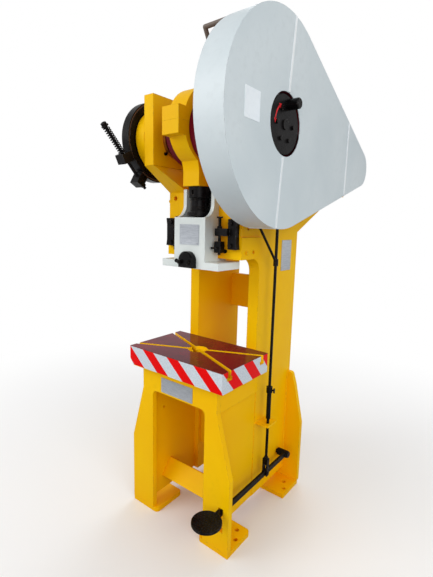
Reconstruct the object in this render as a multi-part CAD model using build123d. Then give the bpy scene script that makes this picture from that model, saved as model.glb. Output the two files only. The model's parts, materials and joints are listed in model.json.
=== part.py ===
from build123d import *
import math
import os

os.makedirs("parts", exist_ok=True)

# Open-back stamping press. Millimetres. X to the right seen from the front, Y to the rear, Z up.
# The floor is Z = 0, and the ram axis and the crank axis meet at X = 0, Y = 0 of this plan.
# The saved origin is the middle of the four inner floor bolts.

# Fits
FACE_GAP = 0.3            # between curved or loose faces of different bodies
RUN_GAP = 0.05            # shaft in a bush, on the radius
SLIDE_GAP = 0.15          # flat sliding faces
OVER = 1.0                # how far a cutting shape runs past the face that it cuts

# Table
TABLE_W = 480.0
TABLE_D = 300.0
TABLE_T = 80.0
TABLE_TOP = 735.0
TABLE_CUT_X = 20.0
TABLE_CUT_Z = 27.0
SLOT_NECK = 16.0
SLOT_NECK_DEPTH = 22.0
SLOT_HEAD = 28.0
SLOT_HEAD_DEPTH = 14.0
SLOT_END_Y = 108.0
RECESS_R = 40.0
RECESS_DEPTH = 12.0
DROP_HOLE_R = 26.0

# Ram, in its guides
BALL_DROP = 353.0         # crank axis down to the ball
AXIS_Z = 1558.0
STROKE = 55.0
THROW = STROKE / 2
BALL_Z = AXIS_Z - BALL_DROP
BALL_R = 36.0
SLIDE_HALF_X = 77.0
SLIDE_FRONT_Y = -61.0
SLIDE_REAR_WALL = 12.0
SLIDE_WALL = 16.0
SLIDE_BOTTOM = BALL_Z - 134.0
SLIDE_FACE_TOP = BALL_Z + 57.0
FLANGE_T = 28.0
FLANGE_OUT = 65.0
FLANGE_HALF_X = SLIDE_HALF_X + FLANGE_OUT
WING_OUT = 23.0
WING_T = 24.0
WING_OUT_X = SLIDE_HALF_X + WING_OUT
SWEEP_BACK_Y = -10.0
SWEEP_STEP = 0.5          # flat left between the curved sweep and the slide's face
SHANK_R = 20.0
SHANK_DEPTH = 60.0
SEAT_TOP = BALL_Z + 31.0
RING_LOW = BALL_Z + 17.0
RING_R = 43.0
RING_ROOM = 5.0           # round the ball's neck
SLIDE_PLATE_HALF = 48.0
SLIDE_PLATE_LOW = SLIDE_BOTTOM + 89.0
SLIDE_PLATE_H = 76.0
PLATE_SHEET = 1.2         # thickness of the bare plates

# Clamp at the ram's lower front
CLAMP_R = 36.0
CLAMP_T = 26.0
CLAMP_Z = SLIDE_BOTTOM + 29.0
CLAMP_FOOT = 3.0
CLAMP_CHAMFER = 5.0
CLAMP_SCREW_R = 5.0
CLAMP_SCREW_REACH = 16.0
CLAMP_SCREW_IN = 12.0
CLAMP_SCREW_DROP = 3.0
CLAMP_KNOB_R = 8.0
CLAMP_NUT_X = 21.0
CLAMP_NUT_R = 9.0
CLAMP_NUT_T = 9.0
CLAMP_STUD_T = 6.0
CLAMP_NUT_DROP = 4.0

# Connecting rod, ball screw and lock collar
NECK_HALF_Y = 56.0
NECK_BOTTOM = BALL_Z + 171.0
ROD_SWING_ROOM = 6.5      # under the neck, for the rod's swing
SLIDE_TOP = NECK_BOTTOM - ROD_SWING_ROOM
NECK_SHOULDER = 6.0
NECK_FLARE_DROP = 128.0
NECK_FLARE_R = 90.0
ROD_HALF = 39.0
ROD_OUT_R = 138.0
LUG_FRONT = 166.0
LUG_HALF_H = 46.5
PIN_R = 35.0
PIN_CLEAR = 1.0
CAP_BOLT_R = 7.0
CAP_BOLT_X = 20.0
CAP_BOLT_IN = 17.0
CAP_BOLT_END = 10.0
CAP_HEAD_R = 10.0
CAP_HEAD_T = 12.0
CAP_HEAD_SUNK = 1.0
CAP_KEY_R = 5.5
CAP_KEY_DEPTH = 6.0
SCREW_R = 24.0
SHANK_IN = 40.0
SCREW_CORE_IN = 45.0
COLLAR_H = 40.0
COLLAR_R = 46.0
COLLAR_SLOT_HALF = 5.0
COLLAR_SLOT_DEPTH = 7.0
COLLAR_SLOT_LOW = 30.0
COLLAR_SLOT_HIGH = 12.0
SCREW_BODY_R = 38.0
FLARE_R = 50.0
FLARE_T = 14.0
FLARE_Z = BALL_Z + 63.0
BALL_NECK_R = 22.0
BAR_HOLE_R = 7.0
BAR_HOLE_RISE = 44.0

# Side plates: head, jaw, column and rear leg web in one outline
PLATE_T = 48.0
GUIDE_OUT = 32.0
PLATE_IN_X = WING_OUT_X + GUIDE_OUT
PLATE_OUT_X = PLATE_IN_X + PLATE_T
JAW_FRONT_Y = 17.0
GUIDE_FRONT = 15.0
GUIDE_WALL = 24.0
WING_Y0 = JAW_FRONT_Y + GUIDE_FRONT
WING_Y1 = WING_Y0 + WING_T
SLIDE_REAR_Y = WING_Y1 + 16.0
FLANGE_REAR_Y = SLIDE_REAR_Y
COLUMN_GAP = 6.0          # between the table and the column
COLUMN_FRONT_Y = TABLE_D / 2 + COLUMN_GAP
THROAT_R = 56.0
JAW_BOTTOM = SLIDE_BOTTOM + 39.0
JAW_TOP = NECK_BOTTOM - 15.0
HEAD_FRONT_Y = -120.0
HEAD_BOTTOM = AXIS_Z - 106.0
HEAD_TOP = AXIS_Z + 146.0
HEAD_REAR_Y = 260.0
HEAD_REAR_R = 40.0
HEAD_REAR_LOW = AXIS_Z - 128.0
COLUMN_REAR_R = 60.0
PAD_T = 7.0
PAD_TOP = JAW_BOTTOM + 83.0
WEB_IN_X = SLIDE_HALF_X + 5.0
JAW_HOLE_R = 9.0
JAW_HOLE_DEPTH = 30.0
JAW_HOLE_IN = 15.0
JAW_HOLE_DROP = 23.0
SIDE_HOLE_R = 7.0
SIDE_HOLE_DEPTH = 20.0
SIDE_HOLES = ((67.0, 135.0), (98.0, 224.0))     # Y, and how far below the jaw's top
SIDE_STUDS = ((26.0, 130.0), (47.0, 226.0), (26.0, 34.0))
SIDE_STUD_R = 7.0
SIDE_STUD_T = 8.0

# Base and legs
LEG_PLATE_T = 22.0
LEG_TOP_HALF = PLATE_OUT_X + 16.0
PEDAL_BAR_OUT = 45.0
BAR_X = PLATE_OUT_X + PEDAL_BAR_OUT
LEG_EDGE = 37.0           # from the pedal bar's slot to the leg's outer edge
LEG_FOOT_HALF = BAR_X + LEG_EDGE
LEG_SPLAY_TOP = 557.0
LEG_SPLAY_BOTTOM = 317.0
LEG_SET_IN = 32.0
LEG_FRONT_Y = LEG_SET_IN - TABLE_D / 2
LEG_REAR_Y = 470.0
PANEL_T = 22.0
PANEL_STEP = 2.0          # the panel's face lies this far inside the side plate's
PANEL_OUT_X = PLATE_OUT_X - PANEL_STEP
PANEL_BOTTOM = 58.0
PANEL_END_Y = COLUMN_FRONT_Y + 14.0
PANEL_HOLE_Y = -36.0
PANEL_HOLE_Z = 447.0
PANEL_HOLE_R = 5.0
ARCH_HALF = PLATE_OUT_X - 41.0
ARCH_TOP = LEG_SPLAY_TOP
ARCH_R = 22.0
BASE_WALL = 30.0
DROP_ROOM = 8.0
LEG_SLOT_LOW = 96.0
LEG_SLOT_HIGH = 196.0
LEG_SLOT_HALF = 11.0
REAR_SHOULDER_Z = 500.0
REAR_SHOULDER_OUT = 26.0
REAR_TOP_OUT = 8.0
REAR_TOP_R = 14.0
REAR_ARCH_TOP = 420.0
BACK_PANEL_T = 16.0
BACK_PANEL_SET = 50.0     # from the column's front edge to its back face
BACK_PANEL_LOW = 190.0
BRACE_START = (-46.0, 124.0)
BRACE_RUN = (50.0, 67.0)
BRACE_WALL = (12.0, -7.0)
FOOT_T = 18.0
FOOT_LENGTH = 158.0
FOOT_CORNER = 18.0
FOOT_EDGE_R = 2.0
FOOT_LAP = 24.0           # how far a foot runs in past the arch
FOOT_IN_X = ARCH_HALF - FOOT_LAP
FOOT_HOLE_R = 9.0
FOOT_HOLE_EDGE = 21.0
FOOT_HOLE_STEP = 24.0
FOOT_HOLE_B_X = LEG_FOOT_HALF - FOOT_HOLE_EDGE
FOOT_HOLE_A_X = FOOT_HOLE_B_X - FOOT_HOLE_STEP
HOLE_A_IN = 126.0         # front edge of the foot to its inner hole
HOLE_B_IN = 82.0
HOLE_A_REAR_IN = 68.0
HOLE_B_REAR_IN = 112.0
HOLE_A_FRONT_Y = LEG_FRONT_Y + HOLE_A_IN
HOLE_B_FRONT_Y = LEG_FRONT_Y + HOLE_B_IN
HOLE_A_REAR_Y = LEG_REAR_Y - HOLE_A_REAR_IN
HOLE_B_REAR_Y = LEG_REAR_Y - HOLE_B_REAR_IN
ORIGIN_Y = (HOLE_A_FRONT_Y + HOLE_A_REAR_Y) / 2

# Cross ties between the side plates
TIE_T = 26.0
TIE_UPPER_IN = 40.0
TIE_UPPER_DROP = 60.0
TIE_LOWER_IN = 60.0
TIE_LOWER_Z0 = TABLE_TOP + 105.0
TIE_LOWER_H = 160.0
TIE_FRONT_GAP = 20.0
TIE_FRONT_RISE = 30.0
TIE_FRONT_DROP = 20.0

# Crankshaft and bushes
JOURNAL_R = 45.0
WEB_GAP = 2.0
WEB_T = 33.0
WEB_R = 115.0
WEB_RISE = 11.0           # the web's disc stands off the axis, towards the pin
BUSH_T = 14.0
BUSH_FLANGE_R = 72.0
BUSH_FLANGE_T = 12.0
BOSS_R = 122.0
BOSS_T = 46.0
BOSS_END_X = PLATE_OUT_X + BOSS_T
JOURNAL_END = 2.0
BUSH_SCREW_CIRCLE = 82.0
BUSH_SCREW_R = 6.5
BUSH_SCREW_T = 7.0
SEAT_R = 38.0

# Band brake on the left
DRUM_R = 146.0
DRUM_W = 40.0
DRUM_GAP = 4.0
DRUM_RIM = 14.0
DRUM_DISH = 14.0
DRUM_HUB_R = 62.0
DRUM_X1 = -(BOSS_END_X + DRUM_GAP)
DRUM_X0 = DRUM_X1 - DRUM_W
CRANK_END = 12.0
LINING_T = 5.0
LINING_SET = 3.0
BAND_T = 4.0
BAND_SET = 1.0
BRAKE_OPEN = 223.0        # degrees, the middle of the band's opening
LINING_OPEN = 13.0
BAND_OPEN = 9.0
LUG_SPREAD = 17.0
LUG_HALF_X = 22.0
LUG_HALF = 18.0
LUG_RISE = 10.0
LUG_OUT = 34.0
LUG_SINK = 1.0
ANCHOR_ANGLE = 0.0
ANCHOR_R = 9.0
ANCHOR_ROOM = 4.0
ANCHOR_OUT = 12.0
ANCHOR_WALL = 7.0
ANCHOR_END = 8.0
TIE_ROD_R = 6.0
TIE_TAIL = 22.0
TIE_HEAD = 16.0
TIE_HOLE_END = 20.0
WASHER_T = 4.0
WASHER_OUT = 1.0
TIE_NUT_R = 12.0
TIE_NUT_T = 10.0
SPRING_R = 13.0
SPRING_WIRE = 2.2
SPRING_TURNS = 11
SPRING_LENGTH = 108.0

# Stops on both jaws
STOP_X0 = PLATE_IN_X + 6.0
STOP_X1 = PLATE_OUT_X - 2.0
STOP_DEPTH = 22.0
STOP_Y = JAW_FRONT_Y - STOP_DEPTH
STOP_LOW = JAW_BOTTOM + 38.0
STOP_HEIGHT = 111.0
STOP_HIGH = STOP_LOW + STOP_HEIGHT
STOP_CORNER = 3.0
STOP_WAIST = 4.0
STOP_WAIST_Z = 26.0
STOP_WAIST_R = 6.0
ARM_RISE = 49.0
ARM_H = 27.0
ARM_LOW = STOP_LOW + ARM_RISE
ARM_HIGH = ARM_LOW + ARM_H
ARM_OUT = 13.0
ARM_LAP = 8.0
ARM_HALF_Y = 13.0
STOP_SCREW_X = STOP_X0 - 34.0
STOP_SCREW_R = 5.5
STOP_SCREW_Y = STOP_Y - 5.0
STOP_SCREW_TAIL = 8.0
STOP_TEE_HALF = 11.0
STOP_TEE_LOW = 2.0
STOP_TEE_H = 6.0
STOP_TEE_HALF_Y = 4.0
STOP_NUT_R = 10.0
STOP_NUT_T = 8.0
STOP_BLOCK_LOW = STOP_LOW - 14.0
STOP_BLOCK_H = 42.0
STOP_BLOCK_HALF = 14.0
WING_SCREW_R = 4.5
WING_SCREW_L = 10.0
WING_SCREW_X = STOP_SCREW_X - 6.0
WING_SCREW_RISE = 18.0
WING_REACH = 12.0
WING_HALF_H = 4.0
WING_SHEET = 6.0
WING_LAP = 2.0
BRACKET_BOLT_IN = 12.0
BRACKET_BOLT_LOW = 14.0
BRACKET_BOLT_HIGH = 16.0
BRACKET_BOLT_R = 9.0
BRACKET_BOLT_T = 7.0
JAW_BOLT_X = 114.0
JAW_BOLT_RISE = 29.0
JAW_BOLT_R = 7.5
JAW_BOLT_T = 6.0

# Flywheel, hub and belts
FLY_R = 300.0
FLY_W = 74.0
FLY_OFF = 36.0            # boss to the flywheel's rim
FLY_X0 = BOSS_END_X + FLY_OFF
FLY_X1 = FLY_X0 + FLY_W
FLY_RIM = 44.0
FLY_WEB_HALF = 12.0
FLY_HUB_GAP = 8.0
FLY_HUB_R = 70.0
FLY_HUB_ROOT_R = 76.0
FLY_FACE_R = 80.0
FLY_FACE_ROOT_R = 84.0
FLY_HOLES = 5
FLY_HOLE_R = 46.0
FLY_HOLE_CIRCLE = 168.0
FLY_HOLE_START = 18.0
HUB_R = 93.0
HUB_CHAMFER = 3.0
HUB_SET = 4.0
HUB_BOLT_CIRCLE = 52.0
HUB_BOLT_ANGLES = (0, 120, 180, 240, 300)
HUB_BOLT_R = 7.0
HUB_BOLT_T = 6.0
HUB_CAP_R = 16.0
HUB_CAP_T = 5.0
KNOB_Y = 20.0
KNOB_RISE = 64.0
KNOB_R = 17.0
KNOB_L = 40.0
BELT_IN = 22.0
BELT_PITCH = 24.0
BELT_X = (FLY_X0 + BELT_IN, FLY_X0 + BELT_IN + BELT_PITCH)
BELT_TOP = 13.0
BELT_SINK = 1.5
BELT_HALF = 5.0
BELT_SEAT = 0.5
GROOVE_TOP_HALF = 8.0
GROOVE_LOW_HALF = 6.0
PULLEY_R = 56.0
PULLEY_Y = 743.0
PULLEY_Z = AXIS_Z - 49.0
PULLEY_SIDE = 14.0
PULLEY_HUB_R = 13.0

# Motor on its shelf
MOTOR_X0 = -80.0
MOTOR_L = 276.0
MOTOR_X1 = MOTOR_X0 + MOTOR_L
MOTOR_R = 80.0
MOTOR_END_T = 16.0
MOTOR_END_OUT = 5.0
COWL_L = 44.0
COWL_OUT = 4.0
MOTOR_FOOT_Z = PULLEY_Z - 105.0
MOTOR_FOOT_T = 16.0
MOTOR_FOOT_HALF = 80.0
MOTOR_FOOT_X0 = MOTOR_X0 + 90.0
MOTOR_FOOT_X1 = MOTOR_X1 - 40.0
MOTOR_NECK_IN = 10.0
MOTOR_NECK_HALF = 48.0
MOTOR_NECK_SINK = 40.0
TERMINAL_X0 = MOTOR_X0 + 100.0
TERMINAL_X1 = MOTOR_X1 - 60.0
TERMINAL_HALF = 45.0
TERMINAL_SINK = 20.0
TERMINAL_RISE = 34.0
MOTOR_BOLT_IN = 14.0
MOTOR_BOLT_HALF = 66.0
MOTOR_BOLT_R = 9.0
MOTOR_BOLT_T = 7.0
SHELF_T = 14.0
SHELF_X1 = PLATE_OUT_X + 56.0
SHELF_BEHIND = 110.0
GUSSET_IN = 12.0
GUSSET_T = 14.0
GUSSET_H = 186.0
GUSSET_FOOT = 30.0
GUSSET_TIP = 30.0
GUSSET_SHORT = 20.0

# Belt guard
GUARD_ROOM = 30.0         # between the flywheel's rim and the guard
GUARD_R = FLY_R + GUARD_ROOM
GUARD_R2 = PULLEY_R + 20.0
GUARD_IN = 14.0
GUARD_OUT = 16.0
GUARD_X0 = FLY_X0 - GUARD_IN
GUARD_X1 = FLY_X1 + GUARD_OUT
GUARD_T = 2.0
GUARD_LIP = 14.0
HUB_OPEN_ROOM = 5.0
HUB_OPEN_R = HUB_R + HUB_OPEN_ROOM
SEAM_LEAN = 0.106         # Y for each Z of the first seam, which runs through the hub's centre
SEAM_2_BACK = 195.0       # pulley axis forward to the second seam
SEAM_2_Y = PULLEY_Y - SEAM_2_BACK
SEAM_GAP = 0.6
ZONE_MARGIN = 50.0
STRAP_T = 3.0
STRAP_HALF = 11.0
STRAP_NEAR = 120.0
STRAP_FAR = GUARD_R - 30.0
STRAP_2_DOWN = 100.0
STRAP_2_UP = 110.0
STAY_1_Y = -190.0
STAY_2_Y = -20.0
STAY_1_FOOT_Y = -100.0
STAY_2_FOOT_Y = 60.0
STAY_BEND_OUT = 12.0
STAY_X = PLATE_OUT_X - STAY_BEND_OUT
STAY_FOOT_X = (PLATE_IN_X + PLATE_OUT_X) / 2
STAY_R = 7.0
STAY_PAD_HALF = 18.0
STAY_PAD_HALF_Y = 14.0
STAY_PAD_T = 6.0
STAY_TRIM = 20.0
REAR_STAY_Y0 = PULLEY_Y + 20.0
REAR_STAY_W = 30.0
REAR_STAY_T = 5.0
REAR_STAY_LAP = 36.0
REAR_STAY_RISE = 30.0

# Pedal linkage on the right
BAR_Z = 176.0
BAR_T = 10.0
BAR_H = 22.0
BAR_PIVOT_Y = LEG_REAR_Y - 85.0
PEDAL_Y = LEG_FRONT_Y - 82.0
PEDAL_R = 56.0
PEDAL_T = 7.0
PEDAL_LAP = 14.0
PEDAL_STOP_OUT = 26.0
PEDAL_STOP_IN = 8.0
PEDAL_STOP_H = 20.0
PIVOT_R = 9.0
PIVOT_SLEEVE_R = 17.0
PIVOT_SLEEVE_X0 = PLATE_OUT_X + 8.0
PIVOT_SLEEVE_END = 12.0
PIVOT_HEAD_GAP = 1.0
PIVOT_HEAD_R = 14.0
PIVOT_HEAD_T = 5.0
ROD_Y = COLUMN_FRONT_Y + 49.0
FORK_PIN_R = 6.0
FORK_PIN_HALF = 15.0
FORK_PIN_ROOM = 1.6
FORK_GAP = 1.0
FORK_SHEET = 6.0
FORK_HALF_Y = 9.0
FORK_BELOW = 14.0
FORK_BRIDGE = 40.0
FORK_TOP = 66.0
FORK_NECK_R = 9.0
FORK_NECK = 8.0
PULL_R = 6.0
TUBE_R = 9.5
TUBE_RISE = 252.0
TUBE_LOW = BAR_Z + TUBE_RISE
TUBE_H = 117.0
COUPLER_R = 13.0
COUPLER_H = 26.0
COUPLER_SCREW_R = 4.0
COUPLER_SCREW_L = 24.0
COUPLER_TAB_IN = 4.0
COUPLER_TAB_T = 5.0
COUPLER_TAB_HALF = 3.0
COUPLER_TAB_HALF_H = 10.0
TAB_Z = TUBE_LOW - 22.0
TAB_T = 8.0
TAB_OUT = 18.0
TAB_FRONT = 27.0
TAB_REAR = 45.0
TRIP_Z = AXIS_Z - 228.0
TRIP_PIVOT_Y = ROD_Y - 85.0
TRIP_GAP = 18.0
TRIP_T = 10.0
TRIP_X0 = PLATE_OUT_X + TRIP_GAP
TRIP_X1 = TRIP_X0 + TRIP_T
TRIP_PIN_R = 5.0
TRIP_PIN_END = 4.0
TRIP_HALF_H = 10.0
TRIP_NOSE = 52.0
TRIP_NOSE_HALF_H = 8.0
TRIP_END = 16.0
TRIP_HUB_R = 16.0
TRIP_HUB_SIDE = 8.0
TRIP_SLOT_HALF = 9.0
TRIP_SLOT_ROOM = 0.8
PULL_TOP = 12.0
JOIN_Z = JAW_BOTTOM - 14.0
LINK_FORWARD = 131.0
LINK_RISE = 135.0
LINK_TOP = 205.0
LINK_SLIM = 1.0
LINK_CUT_BELOW = 40.0
LINK_CUT_ABOVE = 60.0
CLASP_OUT = 4.0
CLASP_BELOW = 16.0
CLASP_ABOVE = 12.0

# Bare plates on the base and the column
BASE_PLATE_X0 = -88.0
BASE_PLATE_W = 166.0
BASE_PLATE_Z0 = LEG_SPLAY_TOP + 8.0
BASE_PLATE_H = 61.0
COLUMN_PLATE_Y0 = LEG_REAR_Y - 140.0
COLUMN_PLATE_D = 84.0
COLUMN_PLATE_Z0 = JAW_BOTTOM - 64.0
COLUMN_PLATE_H = 132.0


def box(x0, x1, y0, y1, z0, z1):
    """A box from its two corners on each axis."""
    centre = Pos((x0 + x1) / 2, (y0 + y1) / 2, (z0 + z1) / 2)
    return centre * Box(abs(x1 - x0), abs(y1 - y0), abs(z1 - z0))


def rod_x(x0, x1, y, z, r):
    """A round bar along X."""
    return Pos((x0 + x1) / 2, y, z) * Rot(0, 90, 0) * Cylinder(r, abs(x1 - x0))


def rod_y(y0, y1, x, z, r):
    """A round bar along Y."""
    return Pos(x, (y0 + y1) / 2, z) * Rot(90, 0, 0) * Cylinder(r, abs(y1 - y0))


def rod_z(z0, z1, x, y, r):
    """A round bar along Z."""
    return Pos(x, y, (z0 + z1) / 2) * Cylinder(r, abs(z1 - z0))


def hex_x(x0, x1, y, z, r):
    """A hexagon bar along X."""
    return Plane.YZ.offset(x0) * Pos(y, z) * extrude(RegularPolygon(r, 6), x1 - x0)


def hex_y(y0, y1, x, z, r):
    """A hexagon bar along Y."""
    return Pos(x, y1, z) * Rot(90, 0, 0) * extrude(RegularPolygon(r, 6), y1 - y0)


def hex_z(z0, z1, x, y, r):
    """A hexagon bar along Z."""
    return Pos(x, y, z0) * extrude(RegularPolygon(r, 6), z1 - z0)


def outline(corners):
    """A flat face from corners (u, v, radius); a radius of 0 keeps the corner sharp."""
    count = len(corners)
    spans = []
    for i in range(count):
        u, v, r = corners[i]
        here = Vector(u, v)
        back = Vector(*corners[i - 1][:2]) - here
        ahead = Vector(*corners[(i + 1) % count][:2]) - here
        if r == 0:
            spans.append((here, here, None))
            continue
        back = back.normalized()
        ahead = ahead.normalized()
        half = math.acos(max(-1.0, min(1.0, back.dot(ahead)))) / 2
        reach = r / math.tan(half)
        middle = (back + ahead).normalized()
        spans.append((here + back * reach, here + ahead * reach, here + middle * (r / math.sin(half) - r)))
    edges = []
    for i in range(count):
        start, end, mid = spans[i]
        if mid is not None:
            edges.append(ThreePointArc(start, mid, end))
        follow = spans[(i + 1) % count][0]
        if (follow - end).length > 1e-6:
            edges.append(Line(end, follow))
    return make_face(Wire(edges).edges())


def across_x(face, x0, x1):
    """Extrude a (Y, Z) face from x0 to x1."""
    return Plane.YZ.offset(x0) * extrude(face, x1 - x0)


def across_y(face, y0, y1):
    """Extrude an (X, Z) face from y0 to y1."""
    return Pos(0, y1, 0) * Rot(90, 0, 0) * extrude(face, y1 - y0)


def across_z(face, z0, z1):
    """Extrude an (X, Y) face from z0 to z1."""
    return Pos(0, 0, z0) * extrude(face, z1 - z0)


def loop(y1, z1, r1, y2, z2, r2):
    """The (Y, Z) outline of a band pulled round two circles."""
    run = math.hypot(y2 - y1, z2 - z1)
    lean = math.atan2(z2 - z1, y2 - y1)
    tip = math.acos((r1 - r2) / run)

    def at(y, z, r, angle):
        return Vector(y + r * math.cos(angle), z + r * math.sin(angle))

    top1 = at(y1, z1, r1, lean + tip)
    low1 = at(y1, z1, r1, lean - tip)
    top2 = at(y2, z2, r2, lean + tip)
    low2 = at(y2, z2, r2, lean - tip)
    edges = [
        ThreePointArc(top1, at(y1, z1, r1, lean + math.pi), low1),
        Line(low1, low2),
        ThreePointArc(low2, at(y2, z2, r2, lean), top2),
        Line(top2, top1),
    ]
    return make_face(Wire(edges).edges())


def mirrored(shape):
    """The shape and its mirror image across the middle plane, as one list."""
    return [shape, mirror(shape, Plane.YZ)]


def save(name, *shapes):
    """Write one node, moved so that the origin is the middle of the inner floor bolts."""
    solids = []
    for shape in shapes:
        solids.extend((Pos(0, -ORIGIN_Y, 0) * shape).solids())
    export_step(Compound(children=[Solid(s.wrapped) for s in solids]), f"parts/{name}.step")


def bar_between(a, b, r):
    """A round bar from point a to point b."""
    a = Vector(*a)
    b = Vector(*b)
    return Plane(origin=a, z_dir=(b - a).normalized()) * extrude(Circle(r), (b - a).length)


def tube_path(points, r):
    """A bent round bar through the points."""
    shape = bar_between(points[0], points[1], r)
    for k in range(1, len(points) - 1):
        shape += Pos(*points[k]) * Sphere(r)
        shape += bar_between(points[k], points[k + 1], r)
    return shape


def radial(angle, r, s):
    """The (Y, Z) point at radius r on a line at the angle, s aside of it, about the crank axis."""
    a = math.radians(angle)
    return (r * math.cos(a) - s * math.sin(a), AXIS_Z + r * math.sin(a) + s * math.cos(a))


def radial_block(angle, r0, r1, half, x0, x1):
    """A block standing out from the crank axis."""
    spots = [radial(angle, r0, -half), radial(angle, r1, -half), radial(angle, r1, half), radial(angle, r0, half)]
    return across_x(outline([(y, z, 0) for y, z in spots]), x0, x1)


def sector(angle, spread, reach):
    """A wedge about the crank axis, as wide as the drum."""
    spots = [(0, AXIS_Z), radial(angle - spread, reach, 0), radial(angle + spread, reach, 0)]
    return across_x(outline([(y, z, 0) for y, z in spots]), DRUM_X0, DRUM_X1)


def turned(points, y, z):
    """A body of revolution about an X axis, from (x, radius) points."""
    face = make_face(Polyline(*[(x, y, z + r) for x, r in points], close=True))
    return revolve(face, Axis((0, y, z), (1, 0, 0)))


def grooves(r):
    """The (x, radius) points of the belt grooves on a rim of radius r."""
    points = []
    for x in BELT_X:
        points += [(x - GROOVE_TOP_HALF, r), (x - GROOVE_LOW_HALF, r - BELT_TOP),
                   (x + GROOVE_LOW_HALF, r - BELT_TOP), (x + GROOVE_TOP_HALF, r)]
    return points


def guard_loop(inset):
    """The guard's (Y, Z) outline, the inset inside its outer face."""
    return loop(0, AXIS_Z, GUARD_R - inset, PULLEY_Y, PULLEY_Z, GUARD_R2 - inset)


def seam_y(z):
    """Where the guard's first seam runs at height z."""
    return SEAM_LEAN * (z - AXIS_Z)


# Frame
housing_r = JOURNAL_R + BUSH_T
box_top = TABLE_TOP - TABLE_T
leg_front_back = LEG_FRONT_Y + LEG_PLATE_T
leg_rear_front = LEG_REAR_Y - LEG_PLATE_T
side_face = outline([
    (PANEL_END_Y, PANEL_BOTTOM, 0),
    (leg_rear_front, PANEL_BOTTOM, 0),
    (leg_rear_front, LEG_SPLAY_TOP, 0),
    (LEG_REAR_Y, LEG_SPLAY_TOP, 0),
    (LEG_REAR_Y, HEAD_REAR_LOW, COLUMN_REAR_R),
    (HEAD_REAR_Y, HEAD_TOP, HEAD_REAR_R),
    (HEAD_FRONT_Y, HEAD_TOP, 0),
    (HEAD_FRONT_Y, HEAD_BOTTOM, 0),
    (JAW_FRONT_Y, JAW_TOP, 0),
    (JAW_FRONT_Y, JAW_BOTTOM, 0),
    (COLUMN_FRONT_Y, JAW_BOTTOM, THROAT_R),
    (COLUMN_FRONT_Y, LEG_SPLAY_TOP, 0),
    (PANEL_END_Y, LEG_SPLAY_TOP, 0),
])
pad_face = outline([
    (JAW_FRONT_Y, PAD_TOP, 0),
    (JAW_FRONT_Y, JAW_BOTTOM, 0),
    (COLUMN_FRONT_Y, JAW_BOTTOM, THROAT_R),
    (COLUMN_FRONT_Y, PAD_TOP, 0),
])


def outer_face(z):
    """The X of the side plate's outer face at height z, which is the pad's face at the jaw."""
    return PLATE_OUT_X + PAD_T if z < PAD_TOP else PLATE_OUT_X


side_plate = across_x(side_face, PLATE_IN_X, PLATE_OUT_X)
side_plate += across_x(pad_face, PLATE_OUT_X, PLATE_OUT_X + PAD_T)
side_plate += rod_x(PLATE_OUT_X, BOSS_END_X, 0, AXIS_Z, BOSS_R)
side_plate -= rod_x(PLATE_IN_X - OVER, BOSS_END_X + OVER, 0, AXIS_Z, housing_r)
side_plate -= rod_y(JAW_FRONT_Y - OVER, JAW_FRONT_Y + JAW_HOLE_DEPTH, PLATE_IN_X + JAW_HOLE_IN,
                    JAW_TOP - JAW_HOLE_DROP, JAW_HOLE_R)
for y, drop in SIDE_HOLES:
    face_x = outer_face(JAW_TOP - drop)
    side_plate -= rod_x(face_x - SIDE_HOLE_DEPTH, face_x + OVER, y, JAW_TOP - drop, SIDE_HOLE_R)
for y, drop in SIDE_STUDS:
    face_x = outer_face(JAW_TOP - drop)
    side_plate += hex_x(face_x - OVER, face_x + SIDE_STUD_T, y, JAW_TOP - drop, SIDE_STUD_R)

web_corners = [
    (PLATE_IN_X, HEAD_FRONT_Y, HEAD_BOTTOM),
    (PLATE_IN_X, COLUMN_FRONT_Y, HEAD_BOTTOM),
    (PLATE_IN_X, JAW_FRONT_Y, JAW_TOP),
    (WEB_IN_X, JAW_FRONT_Y, JAW_TOP),
    (WEB_IN_X, COLUMN_FRONT_Y, JAW_TOP),
    (PLATE_IN_X, COLUMN_FRONT_Y, JAW_TOP),
]


def facet(*ids):
    """One flat face of the head web through its numbered corners."""
    return make_face(Polyline(*[web_corners[i] for i in ids], close=True))


head_web = Solid(Shell([
    facet(0, 2, 3),
    facet(0, 3, 4, 1),
    facet(2, 5, 4, 3),
    facet(0, 1, 5, 2),
    facet(1, 4, 5),
]))

guide_back = WING_Y1 + GUIDE_WALL
guide = box(SLIDE_HALF_X + SLIDE_GAP, PLATE_IN_X, JAW_FRONT_Y, guide_back, JAW_BOTTOM, JAW_TOP)
guide -= box(SLIDE_HALF_X - OVER, WING_OUT_X + SLIDE_GAP, WING_Y0 - SLIDE_GAP, WING_Y1 + SLIDE_GAP,
             JAW_BOTTOM - OVER, JAW_TOP + OVER)

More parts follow.
